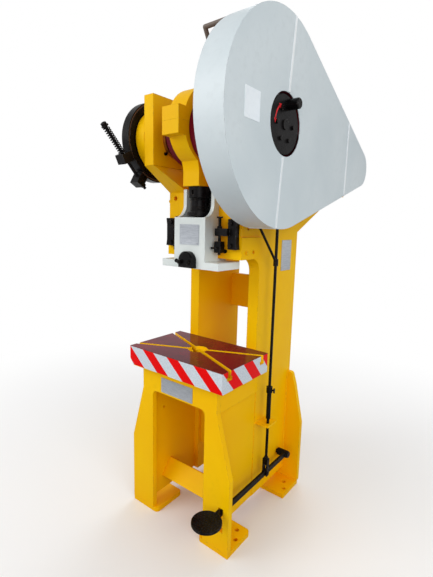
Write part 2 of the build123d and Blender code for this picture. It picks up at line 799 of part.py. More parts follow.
arch_in = ARCH_HALF - PANEL_T
base_box = box(-LEG_TOP_HALF, LEG_TOP_HALF, leg_front_back, COLUMN_FRONT_Y, LEG_SPLAY_TOP, box_top)
base_box -= box(-arch_in, arch_in, leg_front_back + BASE_WALL, TABLE_D / 2 - BASE_WALL,
                LEG_SPLAY_TOP - OVER, box_top - LEG_PLATE_T)
base_box -= rod_z(LEG_SPLAY_TOP, box_top + OVER, 0, 0, DROP_HOLE_R + DROP_ROOM)
front_face = outline([
    (-LEG_FOOT_HALF, FOOT_T, 0),
    (-LEG_FOOT_HALF, LEG_SPLAY_BOTTOM, 0),
    (-LEG_TOP_HALF, LEG_SPLAY_TOP, 0),
    (-LEG_TOP_HALF, box_top, 0),
    (LEG_TOP_HALF, box_top, 0),
    (LEG_TOP_HALF, LEG_SPLAY_TOP, 0),
    (LEG_FOOT_HALF, LEG_SPLAY_BOTTOM, 0),
    (LEG_FOOT_HALF, FOOT_T, 0),
    (ARCH_HALF, FOOT_T, 0),
    (ARCH_HALF, ARCH_TOP, ARCH_R),
    (-ARCH_HALF, ARCH_TOP, ARCH_R),
    (-ARCH_HALF, FOOT_T, 0),
])
front_plate = across_y(front_face, LEG_FRONT_Y, leg_front_back)
front_plate -= box(BAR_X - LEG_SLOT_HALF, BAR_X + LEG_SLOT_HALF, LEG_FRONT_Y - OVER, leg_front_back + OVER,
                   LEG_SLOT_LOW, LEG_SLOT_HIGH)
rear_wide = LEG_TOP_HALF + REAR_SHOULDER_OUT
rear_top = LEG_TOP_HALF + REAR_TOP_OUT
rear_face = outline([
    (-LEG_FOOT_HALF, FOOT_T, 0),
    (-LEG_FOOT_HALF, LEG_SPLAY_BOTTOM, 0),
    (-rear_wide, REAR_SHOULDER_Z, 0),
    (-rear_top, LEG_SPLAY_TOP, REAR_TOP_R),
    (rear_top, LEG_SPLAY_TOP, REAR_TOP_R),
    (rear_wide, REAR_SHOULDER_Z, 0),
    (LEG_FOOT_HALF, LEG_SPLAY_BOTTOM, 0),
    (LEG_FOOT_HALF, FOOT_T, 0),
    (ARCH_HALF, FOOT_T, 0),
    (ARCH_HALF, REAR_ARCH_TOP, ARCH_R),
    (-ARCH_HALF, REAR_ARCH_TOP, ARCH_R),
    (-ARCH_HALF, FOOT_T, 0),
])
rear_plate = across_y(rear_face, leg_rear_front, LEG_REAR_Y)
panel_in = PANEL_OUT_X - PANEL_T
side_panel = box(panel_in, PANEL_OUT_X, leg_front_back, PANEL_END_Y, PANEL_BOTTOM, LEG_SPLAY_TOP)
left_panel = mirror(side_panel, Plane.YZ)
left_panel -= rod_x(-PANEL_OUT_X - OVER, -panel_in + OVER, PANEL_HOLE_Y, PANEL_HOLE_Z, PANEL_HOLE_R)
back_y = COLUMN_FRONT_Y + BACK_PANEL_SET
back_panel = box(-PLATE_IN_X, PLATE_IN_X, back_y - BACK_PANEL_T, back_y, BACK_PANEL_LOW, LEG_SPLAY_TOP)
brace_low = Vector(*BRACE_START)
brace_wall = Vector(*BRACE_WALL)
brace_run = Vector(*BRACE_RUN)
brace_spots = [brace_low, brace_low + brace_wall, brace_low + brace_wall + brace_run, brace_low + brace_run]
brace = across_x(outline([(spot.X, spot.Y, 0) for spot in brace_spots]), -panel_in, panel_in)


def foot(y0, y1, hole_ys):
    """One foot plate on the right, with its inner and its outer bolt hole."""
    plate = across_z(outline([
        (FOOT_IN_X, y0, FOOT_CORNER),
        (LEG_FOOT_HALF, y0, FOOT_EDGE_R),
        (LEG_FOOT_HALF, y1, FOOT_CORNER),
        (FOOT_IN_X, y1, FOOT_CORNER),
    ]), 0, FOOT_T)
    for x, y in zip((FOOT_HOLE_A_X, FOOT_HOLE_B_X), hole_ys):
        plate -= rod_z(-OVER, FOOT_T + OVER, x, y, FOOT_HOLE_R)
    return plate


front_foot = foot(LEG_FRONT_Y, LEG_FRONT_Y + FOOT_LENGTH, (HOLE_A_FRONT_Y, HOLE_B_FRONT_Y))
rear_foot = foot(LEG_REAR_Y - FOOT_LENGTH, LEG_REAR_Y, (HOLE_A_REAR_Y, HOLE_B_REAR_Y))


def cross_tie(y, z0, z1):
    """One plate between the side plates, its front face at y."""
    return box(-PLATE_IN_X, PLATE_IN_X, y, y + TIE_T, z0, z1)


tie_upper = cross_tie(HEAD_REAR_Y - TIE_UPPER_IN, HEAD_REAR_LOW, HEAD_TOP - TIE_UPPER_DROP)
tie_lower = cross_tie(LEG_REAR_Y - TIE_LOWER_IN, TIE_LOWER_Z0, TIE_LOWER_Z0 + TIE_LOWER_H)
tie_front = cross_tie(guide_back + TIE_FRONT_GAP, JAW_BOTTOM + TIE_FRONT_RISE, JAW_TOP - TIE_FRONT_DROP)

# Table with crossed T-slots
bolster_face = outline([
    (-TABLE_W / 2, box_top + TABLE_CUT_Z, 0),
    (-TABLE_W / 2 + TABLE_CUT_X, box_top, 0),
    (TABLE_W / 2, box_top, 0),
    (TABLE_W / 2, TABLE_TOP, 0),
    (-TABLE_W / 2, TABLE_TOP, 0),
])
bolster = across_y(bolster_face, -TABLE_D / 2, TABLE_D / 2)
slot_lean = math.degrees(math.atan2(SLOT_END_Y, TABLE_W / 2))
neck_low = TABLE_TOP - SLOT_NECK_DEPTH
head_low = neck_low - SLOT_HEAD_DEPTH
for lean in (slot_lean, -slot_lean):
    turn = Rot(0, 0, lean)
    bolster -= turn * box(-TABLE_W, TABLE_W, -SLOT_NECK / 2, SLOT_NECK / 2, head_low + OVER, TABLE_TOP + OVER)
    bolster -= turn * box(-TABLE_W, TABLE_W, -SLOT_HEAD / 2, SLOT_HEAD / 2, head_low, neck_low)
bolster -= rod_z(TABLE_TOP - RECESS_DEPTH, TABLE_TOP + OVER, 0, 0, RECESS_R)
bolster -= rod_z(box_top - OVER, TABLE_TOP + OVER, 0, 0, DROP_HOLE_R)

# Crankshaft, bushes and their screws
web_in = ROD_HALF + WEB_GAP
web_out = web_in + WEB_T
flange_in = PLATE_IN_X - BUSH_FLANGE_T
hub_end = GUARD_X1 - HUB_SET
crank = rod_x(DRUM_X0 - CRANK_END, -web_in, 0, AXIS_Z, SEAT_R)
crank += rod_x(web_in, FLY_X1 - HUB_SET, 0, AXIS_Z, SEAT_R)
for side in (-1, 1):
    crank += rod_x(side * web_in, side * (BOSS_END_X + JOURNAL_END), 0, AXIS_Z, JOURNAL_R)
    crank += rod_x(side * web_in, side * web_out, 0, AXIS_Z + WEB_RISE, WEB_R)
crank += rod_x(-web_in - OVER, web_in + OVER, 0, AXIS_Z + THROW, PIN_R)
bush = rod_x(flange_in, PLATE_IN_X, 0, AXIS_Z, BUSH_FLANGE_R)
bush += rod_x(PLATE_IN_X, BOSS_END_X, 0, AXIS_Z, housing_r)
bush -= rod_x(flange_in - OVER, BOSS_END_X + OVER, 0, AXIS_Z, JOURNAL_R + RUN_GAP)
bush_screws = []
for angle in (45, 135, 225, 315):
    y, z = radial(angle, BUSH_SCREW_CIRCLE, 0)
    bush_screws += mirrored(rod_x(PLATE_IN_X - BUSH_SCREW_T, PLATE_IN_X, y, z, BUSH_SCREW_R))

# Band brake
drum = rod_x(DRUM_X0, DRUM_X1, 0, AXIS_Z, DRUM_R) - rod_x(DRUM_X0 - OVER, DRUM_X1 + OVER, 0, AXIS_Z, SEAT_R)
dish = rod_x(DRUM_X0 - OVER, DRUM_X0 + DRUM_DISH, 0, AXIS_Z, DRUM_R - DRUM_RIM)
drum -= dish - rod_x(DRUM_X0 - 2 * OVER, DRUM_X0 + DRUM_DISH + OVER, 0, AXIS_Z, DRUM_HUB_R)
lining_in = DRUM_R + FACE_GAP
band_in = lining_in + LINING_T
band_out = band_in + BAND_T
lining = rod_x(DRUM_X0 + LINING_SET, DRUM_X1 - LINING_SET, 0, AXIS_Z, band_in)
lining -= rod_x(DRUM_X0, DRUM_X1, 0, AXIS_Z, lining_in)
lining -= sector(BRAKE_OPEN, LINING_OPEN, 2 * DRUM_R)
band = rod_x(DRUM_X0 + BAND_SET, DRUM_X1 - BAND_SET, 0, AXIS_Z, band_out)
band -= rod_x(DRUM_X0, DRUM_X1, 0, AXIS_Z, band_in)
band -= sector(BRAKE_OPEN, BAND_OPEN, 2 * DRUM_R)
band_mid_x = (DRUM_X0 + DRUM_X1) / 2
lug_x0 = band_mid_x - LUG_HALF_X
lug_x1 = band_mid_x + LUG_HALF_X
tie_r = band_out + LUG_RISE
for side in (-1, 1):
    band += radial_block(BRAKE_OPEN + side * LUG_SPREAD, band_in + LUG_SINK, tie_r + LUG_OUT, LUG_HALF, lug_x0, lug_x1)
anchor_y, anchor_z = radial(ANCHOR_ANGLE, band_out + ANCHOR_R + ANCHOR_ROOM, 0)
band += radial_block(ANCHOR_ANGLE, band_in + LUG_SINK, band_out + 2 * ANCHOR_R + ANCHOR_OUT,
                     ANCHOR_R + ANCHOR_WALL, lug_x0, lug_x1)
band -= rod_x(lug_x0 - OVER, lug_x1 + OVER, anchor_y, anchor_z, ANCHOR_R + FACE_GAP)
anchor = rod_x(lug_x0 - ANCHOR_END, -PLATE_OUT_X, anchor_y, anchor_z, ANCHOR_R)

# Its tie rod, nuts and spring
washer_r = SPRING_R + WASHER_OUT
lug_lean = math.radians(LUG_SPREAD)
lug_far = (LUG_HALF + (tie_r + washer_r) * math.sin(lug_lean)) / math.cos(lug_lean) + FACE_GAP
spring_end = lug_far + SPRING_LENGTH
rod_room = TIE_ROD_R + FACE_GAP


def tie_point(s):
    """A point on the brake's tie rod, s along it from the middle of the band's opening."""
    y, z = radial(BRAKE_OPEN, tie_r, -s)
    return Vector(band_mid_x, y, z)


def tie_piece(s0, s1, r, sides=0):
    """A round or six-sided piece on the brake's tie rod."""
    a = tie_point(s0)
    b = tie_point(s1)
    shape = RegularPolygon(r, sides) if sides else Circle(r)
    return Plane(origin=a, z_dir=(b - a).normalized()) * extrude(shape, (b - a).length)


def tie_ring(s0, s1, r, sides=0):
    """A washer or a nut on the brake's tie rod."""
    return tie_piece(s0, s1, r, sides) - tie_piece(s0 - OVER, s1 + OVER, rod_room)


band -= tie_piece(-lug_far - TIE_HOLE_END, lug_far + TIE_HOLE_END, rod_room)
tie_rod = tie_piece(-lug_far - TIE_TAIL, spring_end + TIE_HEAD, TIE_ROD_R)
near_washer = tie_ring(lug_far, lug_far + WASHER_T, washer_r)
far_washer = tie_ring(spring_end, spring_end + WASHER_T, washer_r)
near_nut = tie_ring(-lug_far - TIE_NUT_T, -lug_far, TIE_NUT_R, 6)
far_nut = tie_ring(spring_end + WASHER_T, spring_end + WASHER_T + TIE_NUT_T, TIE_NUT_R, 6)
spring_low = lug_far + WASHER_T + SPRING_WIRE + FACE_GAP
spring_run = spring_end - SPRING_WIRE - FACE_GAP - spring_low
coil = Helix(spring_run / SPRING_TURNS, spring_run, SPRING_R - SPRING_WIRE)
wire = Plane(origin=coil @ 0, z_dir=coil % 0) * RegularPolygon(SPRING_WIRE, 6)
spring_base = tie_point(spring_low)
spring_way = (tie_point(spring_end) - spring_base).normalized()
spring = Plane(origin=spring_base, z_dir=spring_way) * sweep(wire, coil, is_frenet=True)

# Connecting rod with its split big end
pin_z = AXIS_Z + THROW
pin_room = PIN_R + (1 + math.sqrt(2)) * THROW + PIN_CLEAR
lug_low = pin_z - LUG_HALF_H
lug_high = pin_z + LUG_HALF_H
bolt_y = LUG_FRONT - CAP_BOLT_IN
shoulder_y = ROD_OUT_R - NECK_SHOULDER
neck = outline([
    (-shoulder_y, lug_low + NECK_SHOULDER, 0),
    (-NECK_HALF_Y, pin_z - NECK_FLARE_DROP, NECK_FLARE_R),
    (-NECK_HALF_Y, NECK_BOTTOM, 0),
    (NECK_HALF_Y, NECK_BOTTOM, 0),
    (NECK_HALF_Y, pin_z - NECK_FLARE_DROP, NECK_FLARE_R),
    (shoulder_y, lug_low + NECK_SHOULDER, 0),
])
far = 2 * ROD_OUT_R
pin_bore = rod_x(-far, far, 0, pin_z, pin_room)
big_end = rod_x(-ROD_HALF, ROD_HALF, 0, pin_z, ROD_OUT_R)
big_end += box(-ROD_HALF, ROD_HALF, -LUG_FRONT, LUG_FRONT, lug_low, lug_high)
big_end -= pin_bore
head_top = lug_high - CAP_HEAD_SUNK
head_base = head_top - CAP_HEAD_T
bolt_end = lug_low + CAP_BOLT_END
cap_bolts = []
for y in (-bolt_y, bolt_y):
    for x in (-CAP_BOLT_X, CAP_BOLT_X):
        big_end -= rod_z(bolt_end - FACE_GAP, lug_high + OVER, x, y, CAP_BOLT_R + FACE_GAP)
        big_end -= rod_z(head_base, lug_high + OVER, x, y, CAP_HEAD_R + FACE_GAP)
        bolt = rod_z(bolt_end, head_base, x, y, CAP_BOLT_R) + rod_z(head_base, head_top, x, y, CAP_HEAD_R)
        cap_bolts.append(bolt - hex_z(head_top - CAP_KEY_DEPTH, head_top + OVER, x, y, CAP_KEY_R))
cap = big_end & box(-far, far, -far, far, pin_z, pin_z + far)
low_half = big_end & box(-far, far, -far, far, pin_z - far, pin_z)
rod = low_half + (across_x(neck, -ROD_HALF, ROD_HALF) - pin_bore)
rod -= rod_z(NECK_BOTTOM - OVER, NECK_BOTTOM + SHANK_IN + OVER, 0, 0, SCREW_R + FACE_GAP)

# Ball screw and its lock collar
collar_low = NECK_BOTTOM - COLLAR_H
screw = rod_z(collar_low - SCREW_CORE_IN, NECK_BOTTOM + SHANK_IN, 0, 0, SCREW_R)
screw += rod_z(FLARE_Z + FLARE_T, collar_low, 0, 0, SCREW_BODY_R)
screw += rod_z(FLARE_Z, FLARE_Z + FLARE_T, 0, 0, FLARE_R)
screw += rod_z(BALL_Z, FLARE_Z, 0, 0, BALL_NECK_R)
screw += Pos(0, 0, BALL_Z) * Sphere(BALL_R)
screw -= rod_x(-FLARE_R, FLARE_R, 0, FLARE_Z + BAR_HOLE_RISE, BAR_HOLE_R)
collar = rod_z(collar_low, NECK_BOTTOM, 0, 0, COLLAR_R)
collar -= rod_z(collar_low - OVER, NECK_BOTTOM + OVER, 0, 0, SCREW_R + FACE_GAP)
for turn in (0, 90):
    collar -= Rot(0, 0, turn) * box(-COLLAR_SLOT_HALF, COLLAR_SLOT_HALF, -COLLAR_R - OVER, COLLAR_SLOT_DEPTH - COLLAR_R,
                                    NECK_BOTTOM - COLLAR_SLOT_LOW, NECK_BOTTOM - COLLAR_SLOT_HIGH)

# Ram
pocket_x = SLIDE_HALF_X - SLIDE_WALL
pocket_back = SLIDE_REAR_Y - SLIDE_REAR_WALL
ram_face = outline([
    (SLIDE_FRONT_Y, SLIDE_BOTTOM, 0),
    (SLIDE_FRONT_Y, SLIDE_FACE_TOP, 0),
    (SWEEP_BACK_Y, SLIDE_FACE_TOP, SWEEP_BACK_Y - SLIDE_FRONT_Y - SWEEP_STEP),
    (SWEEP_BACK_Y, SLIDE_TOP, 0),
    (SLIDE_REAR_Y, SLIDE_TOP, 0),
    (SLIDE_REAR_Y, SLIDE_BOTTOM, 0),
])
ram = across_x(ram_face, -SLIDE_HALF_X, SLIDE_HALF_X)
ram -= box(-pocket_x, pocket_x, SLIDE_FRONT_Y - OVER, pocket_back, SLIDE_FACE_TOP, SLIDE_TOP + OVER)
ram -= box(-pocket_x, pocket_x, SLIDE_FRONT_Y + SLIDE_WALL, pocket_back, SEAT_TOP, SLIDE_FACE_TOP)
ram += box(-FLANGE_HALF_X, FLANGE_HALF_X, SLIDE_FRONT_Y, FLANGE_REAR_Y, SLIDE_BOTTOM, SLIDE_BOTTOM + FLANGE_T)
for side in (-1, 1):
    ram += box(side * (SLIDE_HALF_X - OVER), side * WING_OUT_X, WING_Y0, WING_Y1, JAW_BOTTOM + STROKE, JAW_TOP)
ball_room = BALL_R + FACE_GAP
ball_seat = Pos(0, 0, BALL_Z) * Sphere(ball_room)
ram -= ball_seat
ram -= rod_z(BALL_Z, RING_LOW, 0, 0, ball_room)
ram -= rod_z(RING_LOW, SEAT_TOP + OVER, 0, 0, RING_R + FACE_GAP)
ram -= rod_z(SLIDE_BOTTOM - OVER, SLIDE_BOTTOM + SHANK_DEPTH, 0, 0, SHANK_R)
ring = rod_z(RING_LOW, SEAT_TOP, 0, 0, RING_R) - ball_seat
ring -= rod_z(RING_LOW - OVER, SEAT_TOP + OVER, 0, 0, BALL_NECK_R + RING_ROOM)
clamp_y = SLIDE_FRONT_Y - CLAMP_T
clamp_low = SLIDE_BOTTOM + CLAMP_FOOT
clamp = rod_y(clamp_y, SLIDE_FRONT_Y, 0, CLAMP_Z, CLAMP_R)
clamp += box(-CLAMP_R, CLAMP_R, clamp_y, SLIDE_FRONT_Y, clamp_low, CLAMP_Z)
clamp -= box(-CLAMP_R - OVER, CLAMP_R + OVER, clamp_y - OVER, SLIDE_FRONT_Y + OVER, CLAMP_Z - CLAMP_R - OVER, clamp_low)
clamp = chamfer(clamp.faces().sort_by(Axis.Y)[0].edges(), CLAMP_CHAMFER)
knob_x = -CLAMP_R - CLAMP_SCREW_REACH
clamp_screw_y = clamp_y + CLAMP_SCREW_IN
clamp_screw_z = CLAMP_Z - CLAMP_SCREW_DROP
clamp_screw = rod_x(knob_x, -CLAMP_R, clamp_screw_y, clamp_screw_z, CLAMP_SCREW_R)
clamp_screw += Pos(knob_x, clamp_screw_y, clamp_screw_z) * Rot(0, 90, 0) * Sphere(CLAMP_KNOB_R)
clamp_nut_z = CLAMP_Z - CLAMP_NUT_DROP
nut_front = clamp_y - CLAMP_NUT_T
clamp_nuts = []
for x in (-CLAMP_NUT_X, CLAMP_NUT_X):
    clamp_nuts.append(hex_y(nut_front, clamp_y, x, clamp_nut_z, CLAMP_NUT_R)
                      + rod_y(nut_front - CLAMP_STUD_T, nut_front, x, clamp_nut_z, CLAMP_SCREW_R))
slide_plate = box(-SLIDE_PLATE_HALF, SLIDE_PLATE_HALF, SLIDE_FRONT_Y - PLATE_SHEET, SLIDE_FRONT_Y,
                  SLIDE_PLATE_LOW, SLIDE_PLATE_LOW + SLIDE_PLATE_H)

# Stops on both jaws
waist_low = STOP_LOW + STOP_WAIST_Z
waist_high = STOP_HIGH - STOP_WAIST_Z
bracket_face = outline([
    (STOP_X0, STOP_LOW, STOP_CORNER),
    (STOP_X1, STOP_LOW, STOP_CORNER),
    (STOP_X1 - STOP_WAIST, waist_low, STOP_WAIST_R),
    (STOP_X1 - STOP_WAIST, waist_high, STOP_WAIST_R),
    (STOP_X1, STOP_HIGH, STOP_CORNER),
    (STOP_X0, STOP_HIGH, STOP_CORNER),
])
arm_front = STOP_SCREW_Y - ARM_HALF_Y
arm_back = STOP_SCREW_Y + ARM_HALF_Y
bracket = across_y(bracket_face, STOP_Y, JAW_FRONT_Y)
bracket += box(STOP_SCREW_X - ARM_OUT, STOP_X0 + ARM_LAP, arm_front, arm_back, ARM_LOW, ARM_HIGH)
bracket -= rod_z(ARM_LOW - OVER, ARM_HIGH + OVER, STOP_SCREW_X, STOP_SCREW_Y, STOP_SCREW_R + FACE_GAP)
block_top = STOP_BLOCK_LOW + STOP_BLOCK_H
tee_low = STOP_HIGH + STOP_TEE_LOW
stop_screw = rod_z(STOP_BLOCK_LOW - STOP_SCREW_TAIL, tee_low + STOP_TEE_H, STOP_SCREW_X, STOP_SCREW_Y, STOP_SCREW_R)
stop_screw += box(STOP_SCREW_X - STOP_TEE_HALF, STOP_SCREW_X + STOP_TEE_HALF, STOP_SCREW_Y - STOP_TEE_HALF_Y,
                  STOP_SCREW_Y + STOP_TEE_HALF_Y, tee_low, tee_low + STOP_TEE_H)
stop_screw += hex_z(ARM_HIGH, ARM_HIGH + STOP_NUT_T, STOP_SCREW_X, STOP_SCREW_Y, STOP_NUT_R)
stop_block = box(STOP_SCREW_X - STOP_BLOCK_HALF, STOP_SCREW_X + STOP_BLOCK_HALF, arm_front, arm_back,
                 STOP_BLOCK_LOW, block_top)
stop_block -= rod_z(STOP_BLOCK_LOW - OVER, block_top + OVER, STOP_SCREW_X, STOP_SCREW_Y, STOP_SCREW_R + FACE_GAP)
wing_z = STOP_BLOCK_LOW + WING_SCREW_RISE
wing_end = arm_front - WING_SCREW_L
wing = rod_y(wing_end, arm_front, WING_SCREW_X, wing_z, WING_SCREW_R)
wing += box(WING_SCREW_X - WING_REACH, WING_SCREW_X + WING_REACH, wing_end + WING_LAP - WING_SHEET, wing_end + WING_LAP,
            wing_z - WING_HALF_H, wing_z + WING_HALF_H)
stop_bolts = []
for z in (STOP_LOW + BRACKET_BOLT_LOW, STOP_HIGH - BRACKET_BOLT_HIGH):
    stop_bolts += mirrored(hex_y(STOP_Y - BRACKET_BOLT_T, STOP_Y, STOP_X0 + BRACKET_BOLT_IN, z, BRACKET_BOLT_R))
stop_bolts += mirrored(rod_y(JAW_FRONT_Y - JAW_BOLT_T, JAW_FRONT_Y, JAW_BOLT_X, JAW_BOTTOM + JAW_BOLT_RISE, JAW_BOLT_R))

# Flywheel and its hub
bore_r = SEAT_R + RUN_GAP
fly_mid_x = (FLY_X0 + FLY_X1) / 2
web_x0 = fly_mid_x - FLY_WEB_HALF
web_x1 = fly_mid_x + FLY_WEB_HALF
rim_in = FLY_R - FLY_RIM
hub_x0 = BOSS_END_X + FLY_HUB_GAP
fly = turned([
    (hub_x0, bore_r), (hub_x0, FLY_HUB_R), (web_x0, FLY_HUB_ROOT_R), (web_x0, rim_in),
    (FLY_X0, rim_in), (FLY_X0, FLY_R), *grooves(FLY_R), (FLY_X1, FLY_R), (FLY_X1, rim_in),
    (web_x1, rim_in), (web_x1, FLY_FACE_ROOT_R), (FLY_X1, FLY_FACE_R), (FLY_X1, bore_r),
], 0, AXIS_Z)
for k in range(FLY_HOLES):
    y, z = radial(FLY_HOLE_START + k * 360 / FLY_HOLES, FLY_HOLE_CIRCLE, 0)
    fly -= rod_x(web_x0 - OVER, web_x1 + OVER, y, z, FLY_HOLE_R)
hub = rod_x(FLY_X1, hub_end, 0, AXIS_Z, HUB_R)
hub = chamfer(hub.faces().sort_by(Axis.X)[-1].edges(), HUB_CHAMFER)
hub_bolts = [rod_x(hub_end, hub_end + HUB_CAP_T, 0, AXIS_Z, HUB_CAP_R)]
for angle in HUB_BOLT_ANGLES:
    y, z = radial(angle, HUB_BOLT_CIRCLE, 0)
    hub_bolts.append(rod_x(hub_end, hub_end + HUB_BOLT_T, y, z, HUB_BOLT_R))
knob = rod_x(hub_end, hub_end + KNOB_L, KNOB_Y, AXIS_Z + KNOB_RISE, KNOB_R)
knob = chamfer(knob.faces().sort_by(Axis.X)[-1].edges(), HUB_CHAMFER)

# Motor, its pulley and the belts
pulley_x0 = BELT_X[0] - PULLEY_SIDE
pulley_x1 = BELT_X[1] + PULLEY_SIDE
pulley = turned([(pulley_x0, 0), (pulley_x0, PULLEY_R), *grooves(PULLEY_R), (pulley_x1, PULLEY_R), (pulley_x1, 0)],
                PULLEY_Y, PULLEY_Z)
pulley += rod_x(MOTOR_X1 + FACE_GAP, BELT_X[0], PULLEY_Y, PULLEY_Z, PULLEY_HUB_R)
belt_low = BELT_TOP - BELT_SEAT
belt_face = loop(0, AXIS_Z, FLY_R - BELT_SINK, PULLEY_Y, PULLEY_Z, PULLEY_R - BELT_SINK)
belt_face -= loop(0, AXIS_Z, FLY_R - belt_low, PULLEY_Y, PULLEY_Z, PULLEY_R - belt_low)
belts = [across_x(belt_face, x - BELT_HALF, x + BELT_HALF) for x in BELT_X]


def motor_part(x0, x1, half, z0, z1):
    """A block of the motor, even about the motor's axis."""
    return box(x0, x1, PULLEY_Y - half, PULLEY_Y + half, z0, z1)


foot_top = MOTOR_FOOT_Z + MOTOR_FOOT_T
motor = rod_x(MOTOR_X0 + COWL_L, MOTOR_X1 - MOTOR_END_T, PULLEY_Y, PULLEY_Z, MOTOR_R)
motor += rod_x(MOTOR_X1 - MOTOR_END_T, MOTOR_X1, PULLEY_Y, PULLEY_Z, MOTOR_R + MOTOR_END_OUT)
motor += motor_part(MOTOR_FOOT_X0, MOTOR_FOOT_X1, MOTOR_FOOT_HALF, MOTOR_FOOT_Z, foot_top)
motor += motor_part(MOTOR_FOOT_X0 + MOTOR_NECK_IN, MOTOR_FOOT_X1 - MOTOR_NECK_IN, MOTOR_NECK_HALF,
                    MOTOR_FOOT_Z, PULLEY_Z - MOTOR_NECK_SINK)
motor += motor_part(TERMINAL_X0, TERMINAL_X1, TERMINAL_HALF, PULLEY_Z + MOTOR_R - TERMINAL_SINK,
                    PULLEY_Z + MOTOR_R + TERMINAL_RISE)
cowl = rod_x(MOTOR_X0, MOTOR_X0 + COWL_L, PULLEY_Y, PULLEY_Z, MOTOR_R + COWL_OUT)
motor_bolts = []
for x in (MOTOR_FOOT_X0 + MOTOR_BOLT_IN, MOTOR_FOOT_X1 - MOTOR_BOLT_IN):
    for y in (PULLEY_Y - MOTOR_BOLT_HALF, PULLEY_Y + MOTOR_BOLT_HALF):
        motor_bolts.append(hex_z(foot_top, foot_top + MOTOR_BOLT_T, x, y, MOTOR_BOLT_R))

# Shelf that carries the motor
shelf_low = MOTOR_FOOT_Z - SHELF_T
shelf_back = PULLEY_Y + SHELF_BEHIND
shelf = box(-PLATE_OUT_X, SHELF_X1, LEG_REAR_Y, shelf_back, shelf_low, MOTOR_FOOT_Z)
gusset_face = outline([
    (LEG_REAR_Y, shelf_low, 0),
    (LEG_REAR_Y, shelf_low - GUSSET_H, 0),
    (LEG_REAR_Y + GUSSET_FOOT, shelf_low - GUSSET_H, 0),
    (shelf_back - GUSSET_SHORT, shelf_low - GUSSET_TIP, 0),
    (shelf_back - GUSSET_SHORT, shelf_low, 0),
])
gusset_x = PLATE_IN_X + GUSSET_IN
for gusset in mirrored(across_x(gusset_face, gusset_x, gusset_x + GUSSET_T)):
    shelf += gusset

# Belt guard in three sheet panels
guard_near = GUARD_X1 - GUARD_T
skin = across_x(guard_loop(0), GUARD_X0, GUARD_X1)
skin -= across_x(guard_loop(GUARD_T), GUARD_X0 + GUARD_T, guard_near)
skin -= across_x(guard_loop(GUARD_LIP), GUARD_X0 - OVER, GUARD_X0 + GUARD_T + OVER)
skin -= rod_x(guard_near - OVER, GUARD_X1 + OVER, 0, AXIS_Z, HUB_OPEN_R)
zone_r = GUARD_R + ZONE_MARGIN
zone_top = AXIS_Z + zone_r
zone_low = AXIS_Z - zone_r
zone_back = PULLEY_Y + GUARD_R2 + ZONE_MARGIN
half_seam = SEAM_GAP / 2


def guard_panel(low_front, top_front, low_back, top_back):
    """The part of the guard's skin between two seams, given by their Y at the bottom and at the top."""
    zone = outline([(top_front, zone_top, 0), (low_front, zone_low, 0), (low_back, zone_low, 0), (top_back, zone_top, 0)])
    return skin & across_x(zone, GUARD_X0 - OVER, GUARD_X1 + OVER)


seam_low = seam_y(zone_low)
seam_top = seam_y(zone_top)
guard_front = guard_panel(-zone_r, -zone_r, seam_low - half_seam, seam_top - half_seam)
guard_middle = guard_panel(seam_low + half_seam, seam_top + half_seam, SEAM_2_Y - half_seam, SEAM_2_Y - half_seam)
guard_rear = guard_panel(SEAM_2_Y + half_seam, SEAM_2_Y + half_seam, zone_back, zone_back)


def strap(y0, z0, y1, z1):
    """A flat strap behind the guard's face, along a seam."""
    way = Vector(y1 - y0, z1 - z0).normalized()
    y_aside = STRAP_HALF * way.Y
    z_aside = -STRAP_HALF * way.X
    face = outline([(y0 - y_aside, z0 - z_aside, 0), (y0 + y_aside, z0 + z_aside, 0),
                    (y1 + y_aside, z1 + z_aside, 0), (y1 - y_aside, z1 - z_aside, 0)])
    return across_x(face, guard_near - STRAP_T, guard_near)


straps = [strap(SEAM_2_Y, PULLEY_Z - STRAP_2_DOWN, SEAM_2_Y, PULLEY_Z + STRAP_2_UP)]
for side in (-1, 1):
    near = AXIS_Z + side * STRAP_NEAR
    away = AXIS_Z + side * STRAP_FAR
    straps.append(strap(seam_y(near), near, seam_y(away), away))

# Stays that carry the guard
lip_r = GUARD_R - GUARD_LIP / 2
stays = []
for y, foot_y in ((STAY_1_Y, STAY_1_FOOT_Y), (STAY_2_Y, STAY_2_FOOT_Y)):
    z = AXIS_Z + math.sqrt(lip_r ** 2 - y ** 2)
    stay = tube_path([(GUARD_X0, y, z), (STAY_X, y, z), (STAY_FOOT_X, foot_y, HEAD_TOP)], STAY_R)
    stay += box(STAY_FOOT_X - STAY_PAD_HALF, STAY_FOOT_X + STAY_PAD_HALF, foot_y - STAY_PAD_HALF_Y,
                foot_y + STAY_PAD_HALF_Y, HEAD_TOP, HEAD_TOP + STAY_PAD_T)
    stay -= box(STAY_FOOT_X - 2 * STAY_TRIM, STAY_FOOT_X + 2 * STAY_TRIM, foot_y - 2 * STAY_TRIM,
                foot_y + 2 * STAY_TRIM, HEAD_TOP - STAY_TRIM, HEAD_TOP)
    stay -= box(GUARD_X0, GUARD_X0 + STAY_TRIM, y - STAY_TRIM, y + STAY_TRIM, z - STAY_TRIM, z + STAY_TRIM)
    stays.append(stay)
rear_stay_y1 = REAR_STAY_Y0 + REAR_STAY_W
rear_stay_top = PULLEY_Z - GUARD_R2 + GUARD_LIP / 2 + REAR_STAY_RISE
rear_stay = box(SHELF_X1, GUARD_X0, REAR_STAY_Y0, rear_stay_y1, shelf_low, rear_stay_top)
rear_stay += box(SHELF_X1 - REAR_STAY_LAP, SHELF_X1, REAR_STAY_Y0, rear_stay_y1, MOTOR_FOOT_Z, MOTOR_FOOT_Z + REAR_STAY_T)
stays.append(rear_stay)

